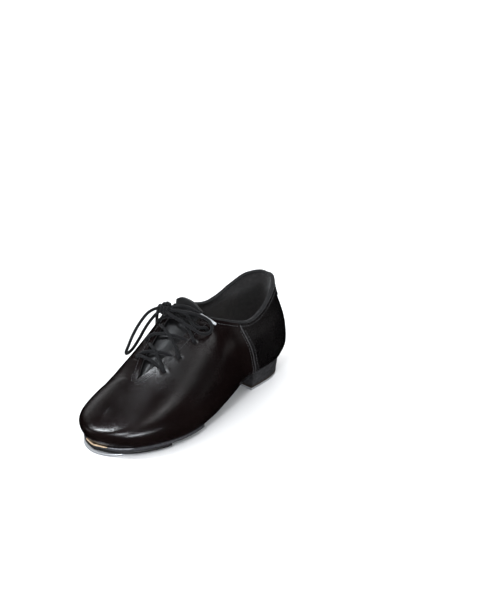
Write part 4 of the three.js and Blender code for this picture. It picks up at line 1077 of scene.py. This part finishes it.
def layer(name, q0, q1, v0, v1, d0, d1, material, nq=40, nv=12, sides=(1, -1)):
    p = Patch(np.linspace(q0, q1, nq), np.linspace(v0, v1, nv), sides)
    V_, F_ = p.shell(d0, d1)
    return crisp(new_object(name, V_, F_, material), 50)


flex(layer("facing_stay_lateral_tape", .505, .72, 1.60, 1.82, 1.5, 2.5, M_LINING, 40, 6, (1,)), "lining_textile", "facing_stay_lateral")
flex(layer("facing_stay_medial_tape", .505, .72, 1.60, 1.82, 1.5, 2.5, M_LINING, 40, 6, (-1,)), "lining_textile", "facing_stay_medial")
flex(layer("insole_board_fibre", .565, .968, -1, -.12, 1.6, 3.4, M_STIFF, 70, 14), "stiffener", "forefoot_insole_board")
sock = layer("sock_liner_cloth", .04, .945, -1, -.02, 3.8, 5.2, M_SOCK, 120, 22)
flex(sock, "foam", "sock_liner")

# ------------------------------------------------------------------ binding round the collar
def binding():
    Q = np.r_[np.linspace(.500, .0, 130)]
    line = [(1, q) for q in Q] + [(-1, q) for q in Q[::-1][1:]]
    V, F, sides_ = [], [], 18
    for i, (s_, q) in enumerate(line):
        qq = float(skew(q, 2.0))
        T_ = surf(s_, np.array(qq), np.array(2.0))
        n_ = np.array([0, 1.0, 0]) if q == 0 else normal_at(s_, np.array(qq), np.array(2.0))
        D_ = T_ - surf(s_, np.array(qq), np.array(1.94))
        D_ /= np.linalg.norm(D_)
        c_ = T_ + D_ * .95 - n_ * 1.55
        wob = 1 + .018 * math.sin(i * .9) + .012 * math.sin(i * 2.3)
        e_ = 1.0
        if min(i, len(line) - 1 - i) < 3:
            e_ = (.45, .8, .95)[min(i, len(line) - 1 - i)]
        for j in range(sides_):
            th = 2 * math.pi * j / sides_
            cx, cy = math.cos(th), math.sin(th)
            # a folded tape: flat legs down both sides, round over the top
            leg = 1.9 if cy < 0 else 1.15
            ex = math.copysign(abs(cx) ** .6, cx)
            ey = math.copysign(abs(cy) ** (.75 if cy > 0 else .5), cy)
            V.append(c_ + n_ * 1.98 * ex * wob * e_ + D_ * leg * ey * wob * e_)
    for i in range(len(line) - 1):
        for j in range(sides_):
            F.append((i * sides_ + j, i * sides_ + (j + 1) % sides_, (i + 1) * sides_ + (j + 1) % sides_, (i + 1) * sides_ + j))
    F.append(tuple(range(sides_)))
    F.append(tuple((len(line) - 1) * sides_ + j for j in range(sides_ - 1, -1, -1)))
    ob = new_object("topline_binding_tape", m_(V), F, M_BINDING)
    bm = bmesh.new()
    bm.from_mesh(ob.data)
    bmesh.ops.recalc_face_normals(bm, faces=bm.faces)
    bm.to_mesh(ob.data)
    bm.free()
    return ob


on(binding(), REAR, "lining_textile", "topline_binding")

tab = layer("back_tab_leather", 0, .052, 1.62, 1.97, -1.25, -.25, M_QUARTER, 14, 14)
on(tab, REAR, "upper_leather", "back_tab")

# ------------------------------------------------------------------ seams and stitches
def seam_tube(name, pts, r, material):
    return tube(name, pts, r, material, sides=10, step=.8)[0]


# piping leather coloured far lighter than the upper: the lightness is a painted highlight along the side and back seam
# ridges
M_PIPING_HIGHLIGHT = leather("piping_painted_highlight", (0.020, 0.019, 0.020), (0.048, 0.046, 0.047), rough=(.26, .38), coat=.2)
pipes = []
for side in (1, -1):
    vs = np.linspace(.10, 1.96, 34)
    pipes.append(seam_tube("x", [at(side, float(skew(.30, v)), v, -.02) for v in vs], .62, M_PIPING_HIGHLIGHT))
on(joined("side_seam_piping", pipes), REAR, "upper_leather")
vs = np.linspace(.12, 1.66, 30)
on(seam_tube("back_seam_ridge", [surf(1, np.array(0.0), np.array(v)) + [0, -.05, 0] for v in vs], .5, M_PIPING_HIGHLIGHT), REAR, "upper_leather")


def stitches(rows_, r=.30, pitch=3.1, length=2.3):
    """each row: (points, normals); little bowed threads laid end to end along it"""
    V, F = [], []
    for P_, N_ in rows_:
        P_, N_ = np.array(P_), np.array(N_)
        s_ = np.r_[0, np.cumsum(np.linalg.norm(np.diff(P_, axis=0), axis=1))]
        n = int(s_[-1] / pitch)
        for i in range(n):
            base = len(V)
            m = 6
            c_ = []
            for j in range(m):
                t = (i + .5) * pitch + (j / (m - 1) - .5) * length
                p_ = np.array([np.interp(t, s_, P_[:, x]) for x in range(3)])
                nn = np.array([np.interp(t, s_, N_[:, x]) for x in range(3)])
                c_.append((p_ + nn * (.30 * math.sin(math.pi * j / (m - 1)) - .12), nn))
            for j in range(m):
                t_v = c_[min(j + 1, m - 1)][0] - c_[max(j - 1, 0)][0]
                t_v /= np.linalg.norm(t_v)
                a_ = np.cross(t_v, c_[j][1])
                a_ /= np.linalg.norm(a_)
                b_ = np.cross(a_, t_v)
                rr = r * (.5 if j in (0, m - 1) else 1)
                for g in range(6):
                    th = math.pi * g / 3
                    V.append(c_[j][0] + rr * (a_ * math.cos(th) + b_ * math.sin(th)))
            for j in range(m - 1):
                for g in range(6):
                    F.append((base + j * 6 + g, base + j * 6 + (g + 1) % 6, base + (j + 1) * 6 + (g + 1) % 6, base + (j + 1) * 6 + g))
            F.append(tuple(base + g for g in range(5, -1, -1)))
            F.append(tuple(base + (m - 1) * 6 + g for g in range(6)))
    return V, F


def row(side, qv, h=.16, n=60):
    qv = catmull(np.c_[np.array(qv), np.zeros(len(qv))], n)[:, :2]
    return ([at(side, q, v, h) for q, v in qv], [normal_at(side, np.array(q), np.array(v)) for q, v in qv])


front_rows, rear_rows = [], []
for side in (1, -1):
    front_rows.append(row(side, [(.512, 1.925), (.58, 1.925), (.65, 1.925), (.715, 1.925), (.738, 1.93), (.752, 1.955)]))
    front_rows.append(row(side, [(.735, 1.89), (.748, 1.91), (.762, 1.955), (.768, 1.995)], n=20))
    front_rows.append(row(side, [(float(skew(.30, v)) + .0125, v) for v in np.linspace(.12, 1.9, 12)]))
    rear_rows.append(row(side, [(float(skew(.30, v)) - .0125, v) for v in np.linspace(.12, 1.9, 12)]))
    rear_rows.append(row(side, [(float(skew(q, 1.93)), 1.93) for q in np.linspace(.30, .06, 12)]))
    front_rows.append(row(side, [(float(skew(q, 1.93)), 1.93) for q in np.linspace(.49, .31, 12)]))
    rear_rows.append(row(side, [(.010, v) for v in np.linspace(.2, 1.60, 10)]))
    rear_rows.append(row(side, [(.046, 1.95), (.046, 1.68)], h=1.36, n=12))
rear_rows.append(([at(1, q, 1.655, 1.36) if q >= 0 else at(-1, -q, 1.655, 1.36) for q in np.linspace(-.046, .046, 20)],
                  [normal_at(1, np.array(q), np.array(1.655)) if q >= 0 else normal_at(-1, np.array(-q), np.array(1.655)) for q in np.linspace(-.046, .046, 20)]))
V_, F_ = stitches(front_rows)
flex(new_object("stitching_front", m_(V_), F_, M_THREAD), "upper_leather")
V_, F_ = stitches(rear_rows)
on(new_object("stitching_rear", m_(V_), F_, M_THREAD), REAR, "upper_leather")

# ------------------------------------------------------------------ tongue
def cat_at(pts, u_):
    pts = np.asarray(pts, float)
    n = len(pts) - 1
    P = np.vstack([2 * pts[0] - pts[1], pts, 2 * pts[-1] - pts[-2]])
    out = []
    for t in u_:
        s_ = min(max(t, 0), 1) * n
        i = min(int(s_), n - 1)
        f = s_ - i
        p0, p1, p2, p3 = P[i:i + 4]
        d0, d1, d2 = [max(np.linalg.norm(x), 1e-6) ** .5 for x in (p1 - p0, p2 - p1, p3 - p2)]
        t1, t2, t3 = d0, d0 + d1, d0 + d1 + d2
        tt = t1 + f * d1
        a1, a2, a3 = (t1 - tt) / t1 * p0 + tt / t1 * p1, (t2 - tt) / d1 * p1 + (tt - t1) / d1 * p2, (t3 - tt) / d2 * p2 + (tt - t2) / d2 * p3
        b1, b2 = (t2 - tt) / t2 * a1 + tt / t2 * a2, (t3 - tt) / (t3 - t1) * a2 + (tt - t1) / (t3 - t1) * a3
        out.append((t2 - tt) / d1 * b1 + (tt - t1) / d1 * b2)
    return np.array(out)


def tongue_ctrl(q, d=-4.4):
    a_, b_, c_, e_ = at(1, q, 1.6, d), at(1, q, 1.99, d), at(-1, q, 1.99, d), at(-1, q, 1.6, d)
    g = np.linalg.norm(b_ - c_)
    return [a_, b_, (b_ + c_) / 2 + [0, 0, 3.2 * min(1, g / 16)], c_, e_]


def sheet_mesh(name, G, t, top_mat, under_mat, round_edge=True):
    """G[i][j] points of the upper face; a padded sheet of thickness t with rolled edges"""
    G = np.array(G)
    n, m = G.shape[:2]
    du, dv = np.gradient(G, axis=0), np.gradient(G, axis=1)
    N_ = np.cross(du, dv)
    N_ /= np.linalg.norm(N_, axis=-1, keepdims=True)
    N_[N_[..., 2] < 0] *= -1
    jj = np.minimum(np.arange(m), m - 1 - np.arange(m)) / 3.0
    ii = np.minimum(n, n - 1 - np.arange(n)) / 3.0
    puff = np.minimum(1, np.sqrt(np.clip(1 - (1 - np.minimum(1, jj)) ** 2, 0, 1)))[None, :] * np.minimum(1, np.sqrt(np.clip(1 - (1 - np.minimum(1, ii)) ** 2, 0, 1)))[:, None]
    thick = t * (0.28 + 0.72 * puff)
    A_ = G - N_ * ((t - thick) / 2)[..., None]
    B_ = G - N_ * ((t + thick) / 2)[..., None]
    V = np.vstack([A_.reshape(-1, 3), B_.reshape(-1, 3)])
    o = n * m
    F = []
    for i in range(n - 1):
        for j in range(m - 1):
            a_, b_, c_, d_ = i * m + j, i * m + j + 1, (i + 1) * m + j + 1, (i + 1) * m + j
            F.append((a_, b_, c_, d_))
            F.append((o + d_, o + c_, o + b_, o + a_))
    for j in range(m - 1):
        F.append((j + 1, j, o + j, o + j + 1))
        k0 = (n - 1) * m + j
        F.append((k0, k0 + 1, o + k0 + 1, o + k0))
    for i in range(n - 1):
        F.append((i * m, (i + 1) * m, o + (i + 1) * m, o + i * m))
        k0 = i * m + m - 1
        F.append((k0 + m, k0, o + k0, o + k0 + m))
    ob = new_object(name, m_(V), F, top_mat)
    bm = bmesh.new()
    bm.from_mesh(ob.data)
    bmesh.ops.recalc_face_normals(bm, faces=bm.faces)
    bm.to_mesh(ob.data)
    bm.free()
    ob.data.materials.append(under_mat)
    idx = [0] * len(ob.data.polygons)
    for i, f in enumerate(ob.data.polygons):
        if all(v >= o for v in f.vertices):
            idx[i] = 1
    ob.data.polygons.foreach_set("material_index", idx)
    return ob, A_, N_


qs = np.linspace(.735, .545, 54)
G = [cat_at(tongue_ctrl(q), np.linspace(0, 1, 40)) for q in qs]
G = np.array(G)
fl = G.reshape(-1, 3)
fl[:, 2] += lumps(fl, 15, .14, 11)
lower, _, _ = sheet_mesh("tongue_leather", fl.reshape(G.shape), 1.8, M_TONGUE, M_LINING)
flex(lower, "upper_leather", "tongue")
LIFT = np.array([-4.2, 8.5, 17.5])
G, ctrl = [], tongue_ctrl(.54)
ctrl[2] = (ctrl[1] + ctrl[3]) / 2 + [0, 0, 3.2]
M_T = 44
s_ = np.linspace(-1, 1, M_T)
for kk in np.r_[np.linspace(-.02, .8, 26), np.linspace(.8, 1, 16)[1:]]:
    r_ = cat_at(ctrl, .5 + .20 * s_)
    rd = np.interp(kk, [0, .3, .6, .85, 1], [0, .02, .06, .14, .24])
    r_[:, 0] = -7 + (r_[:, 0] + 7) * (1 + .45 * kk + .16 * kk * np.clip(-s_, 0, 1)) + 3.5 * kk
    r_ = r_ + LIFT * (kk - rd * np.abs(s_) ** 2.4)[:, None]
    G.append(r_)
G = np.array(G)
fl = G.reshape(-1, 3)
fl += np.array([0, -.5, .35])[None] * (lumps(fl, 14, .45, 12)[:, None])
top_ob, TA, TN = sheet_mesh("tongue_top_leather", fl.reshape(G.shape), 2.0, M_TONGUE, M_LINING)
on(top_ob, TIP, "upper_leather", "tongue_top")
rows_t = []
i_e = -5
rim = list(TA[4:i_e, 3]) + list(TA[i_e, 3:-3]) + list(TA[4:i_e, -4][::-1])
rim_n = list(TN[4:i_e, 3]) + list(TN[i_e, 3:-3]) + list(TN[4:i_e, -4][::-1])
V_, F_ = stitches([([p_ + n_ * .12 for p_, n_ in zip(rim, rim_n)], rim_n)], r=.26, pitch=2.6, length=1.9)
on(new_object("tongue_stitching", m_(V_), F_, M_THREAD), TIP, "upper_leather")

# ------------------------------------------------------------------ soles
def quad_arc(a_, m, b_, n):
    return [[(1 - t) ** 2 * a_[i] + 2 * t * (1 - t) * m[i] + t * t * b_[i] for i in (0, 1)] for t in np.linspace(0, 1, n + 1)[1:-1]]


def feather_outline(q, side, off, at_tip):
    p_, a_, b_ = [surf(side, np.array(x), np.array(0.0)) for x in (q, max(0, q - .01), min(1, q + .01))]
    t = (b_ - a_)[:2]
    t /= np.linalg.norm(t)
    if at_tip:
        t = np.array([-side if q > .5 else side, 0.0])
    return [p_[0] - t[1] * side * off, p_[1] + t[0] * side * off]


def toe_outline(qo, qi, off, n):
    pts = [feather_outline(qo + (1 - qo) * i / n, 1, off, i == n) for i in range(n + 1)]
    return pts + [feather_outline(qi + (1 - qi) * i / n, -1, off, False) for i in range(n - 1, -1, -1)]


def heel_outline(off, breast, dip, n):
    pts = []
    for i in range(n, 0, -1):
        p_ = feather_outline(.299 * i / n, -1, off, False)
        pts.append([p_[0], max(breast, p_[1])])
    for i in range(n + 1):
        p_ = feather_outline(.299 * i / n, 1, off, i == 0)
        pts.append([p_[0], max(breast, p_[1])])
    a_, b_ = pts[-1], pts[0]
    return pts + quad_arc(a_, [(a_[0] + b_[0]) / 2, breast + dip], b_, 24)


def clean(pts, gap=.35):
    out = [pts[0]]
    for p_ in pts[1:]:
        if math.dist(p_, out[-1]) > gap:
            out.append(p_)
    if math.dist(out[0], out[-1]) < gap:
        out.pop()
    return ccw(out)


TAP = resample_closed(ccw([[-20, -116.2], [-8, -120.4], [4, -119.2], [13, -114.6], [19.5, -106.5], [24, -95], [27, -80], [28.2, -66], [26.5, -60.5], [21, -56.6],
                           [10, -53.2], [-3, -52], [-15, -53], [-25.5, -56], [-31.5, -59.5], [-34, -65], [-35.2, -78], [-34.2, -94], [-30, -107]]), 200)
T_SCREWS = [[20.5, -61.5], [-25.5, -61.5], [-5.0, -110.5]]
H_SCREWS = [[0, 108.5], [17.5, 69.5], [-17.5, 69.5]]


def dish(pts_, name):
    """cutter for the dimple and hole at each screw"""
    obs = []
    for x, y in pts_:
        obs.append(lathe("d", [(6.0, -.3), (5.6, 0), (4.9, .32), (4.1, .62), (3.85, .75), (3.85, 3.2)], (x, y, 0), M_TAP, 40))
    return joined(name, obs)


toe_plate = slab("toe_tap_plate_metal", TAP, [(0.0, -1.15), (.10, -.72), (.32, -.35), (.7, -.10), (1.1, 0), (1.75, 0), (2.1, -.10), (2.32, -.30), (2.4, -.55)], M_TAP)
cut(toe_plate, dish(T_SCREWS, "dish"))
on(crisp(toe_plate, 28), FRONT, "tap_aluminium", "toe_tap_plate")
o = toe_outline(.742, .742, .4, 60)
board_pts = clean(o + quad_arc(o[-1], [-1, -36], o[0], 40))
tb = slab("toe_tap_board_fibre", board_pts, [(2.62, -1.0), (2.75, -.45), (3.1, -.1), (3.9, .12), (4.7, .05), (5.1, -.1), (5.3, -.4)], M_BOARD)
on(crisp(tb, 40), FRONT, "tap_board", "toe_tap_board")
o = toe_outline(.606, .640, .8, 90)
a_, b_ = o[-1], o[0]
os_pts = clean(o + quad_arc(a_, [-18, -22], [4, -19.5], 26) + [[4, -19.5]] + quad_arc([4, -19.5], [30, -16.5], b_, 26))


def bendable(ob, y0, y1, step=2.2):
    """cuts straight across a flat piece, so that it can bend there"""
    bm = bmesh.new()
    bm.from_mesh(ob.data)
    for y in np.arange(y0, y1, step):
        bmesh.ops.bisect_plane(bm, geom=bm.verts[:] + bm.edges[:] + bm.faces[:], plane_co=m_([0, y, 0]), plane_no=(0, 1, 0), dist=1e-7)
    bm.to_mesh(ob.data)
    bm.free()
    return ob


outs = slab("forefoot_outsole_rubber", os_pts, [(5.42, -1.1), (5.5, -.6), (5.85, -.15), (6.6, .1), (7.6, .1), (8.25, -.05), (8.5, -.35)], M_OUTSOLE)
flex(crisp(bendable(outs, -54, -16.6), 40), "outsole_rubber", "forefoot_outsole")
tip = sorted([p_ for p_ in toe_outline(.742, .742, .8, 220) if p_[1] < -98], key=lambda p_: p_[0])


def edge_strip(name, x0, x1, r_, z, material):
    """line along the top edge of the sole where it meets the leather; the tan strip is the rubbed edge, the light grey
    strip is a painted highlight
    """
    pts_ = [[p_[0], p_[1], z + .05 * math.sin(p_[0] * 1.7)] for p_ in tip if x0 <= p_[0] <= x1]
    pts_ = [pts_[0]] + [q_ for i_, q_ in enumerate(pts_[1:-1]) if i_ % 4 == 0] + [pts_[-1]]
    ob, _ = tube(name, pts_, r_, material, sides=10, step=.7, scale=lambda t: .35 + .65 * min(1, 6 * t, 6 * (1 - t)) + .12 * math.sin(t * 23))
    return on(ob, FRONT, "outsole_rubber")


edge_strip("sole_edge_rubbed_tan", -19, 8.5, .75, 8.35, M_WORN)
# light grey strip along the sole's top edge, from the toe front round to the lateral side: painted highlight
edge_strip("sole_edge_painted_highlight", 8.0, 28, .6, 8.35, M_EDGE_HIGHLIGHT)

# ------------------------------------------------------------------ heel
def taper(V):
    V = V.copy()
    k_ = .93 + .07 * (V[:, 2] - 4.5) / 16.2
    V[:, 0] *= k_
    V[:, 1] = np.where(V[:, 1] > 75, 75 + (V[:, 1] - 75) * k_, V[:, 1])
    return V


hp = clean(heel_outline(-4.2, 58.3, 5, 56))
heel_plate = slab("heel_tap_plate_metal", hp, [(0.0, -1.1), (.10, -.70), (.32, -.34), (.7, -.10), (1.1, 0), (1.75, 0), (2.1, -.10), (2.32, -.30), (2.4, -.55)], M_TAP)
cut(heel_plate, dish(H_SCREWS, "dish2"))
on(crisp(heel_plate, 28), REAR, "tap_aluminium", "heel_tap_plate")
hb = slab("heel_tap_board_fibre", clean(heel_outline(-3.8, 57.8, 5, 56)), [(2.5, -.7), (2.75, -.2), (3.4, 0), (4.0, -.05), (4.35, -.3)], M_TAN)
on(crisp(hb, 40), REAR, "heel_tap_board", "heel_tap_board")
hpts = clean(heel_outline(-1.4, 57.5, 5, 60))
prof = [(4.4, -.8), (4.6, -.3), (5.0, 0)]
zz = 5.0
for lift in range(3):
    prof += [(zz + 1.2, .05), (zz + 4.3, .02), (zz + 4.62, -.10), (zz + 4.8, -.16), (zz + 4.98, -.10)]
    zz += 5.0
prof += [(20.0, .05), (20.25, .42), (20.75, .50), (20.95, .30)]
on(crisp(slab("heel_block_stack", hpts, prof, M_HEEL, zmap=taper), 40), REAR, "heel_stack", "heel_block")

# ------------------------------------------------------------------ screws
def screw(name, x, y, ztop, body, node, turn):
    head = lathe(name, [(2.0, .36), (2.75, .46), (3.2, .72), (3.45, 1.15), (3.45, 1.6), (1.5, 2.3), (1.5, ztop - 1.2), (.3, ztop)], (x, y, 0), M_SCREW, 36)
    obs = []
    for a_ in (turn, turn + math.pi / 2):
        c_, s2 = math.cos(a_), math.sin(a_)
        V = []
        for z, hl, hw in ((.2, 2.05, .42), (1.25, 1.0, .26)):
            for sx, sy in ((-1, -1), (1, -1), (1, 1), (-1, 1)):
                px, py = hl * sx, hw * sy
                V.append((x + px * c_ - py * s2, y + px * s2 + py * c_, z))
        F = [(3, 2, 1, 0), (4, 5, 6, 7), (0, 1, 5, 4), (1, 2, 6, 5), (2, 3, 7, 6), (3, 0, 4, 7)]
        obs.append(new_object("x", m_(V), F, M_SCREW, smooth=False))
    for c_ in obs:
        cut(head, c_)
    return on(crisp(head, 32), body, "screw_steel", node)


for i, (x, y) in enumerate(T_SCREWS):
    screw(f"toe_tap_screw_{i + 1}_head", x, y, 7.9, FRONT, f"toe_tap_screw_{i + 1}", .5 + i * 1.1)
for i, (x, y) in enumerate(H_SCREWS):
    screw(f"heel_tap_screw_{i + 1}_head", x, y, 12, REAR, f"heel_tap_screw_{i + 1}", .9 + i * .7)

# ------------------------------------------------------------------ inner pieces that keep their CAD shape
class Portion(Patch):
    """the faces of another patch whose corners all pass `keep`"""

    def __init__(self, p, keep):
        ok = [f for f in p.F if all(keep[x] for x in f)]
        used = sorted({x for f in ok for x in f})
        new = {x: i for i, x in enumerate(used)}
        self.P, self.N, self.A, self.B, self.S = p.P[used], p.N[used], p.A[used], p.B[used], p.S[used]
        self.F = [[new[x] for x in f] for f in ok]


V_, F_ = Portion(vamp_p, (vamp_p.A > .845) & (vamp_p.B > .16)).shell(1.42, 2.15)
on(crisp(new_object("toe_puff_fibre", V_, F_, M_STIFF), 50), FRONT, "stiffener", "toe_puff")

for name, m in (("heel_counter", M_STIFF), ("heel_seat_board", M_STIFF), ("heel_pad", M_SOCK),
                ("heel_nail_1", M_SCREW), ("heel_nail_2", M_SCREW), ("heel_nail_3", M_SCREW)):
    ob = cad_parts[name]
    ob.data.materials.clear()
    ob.data.materials.append(m)
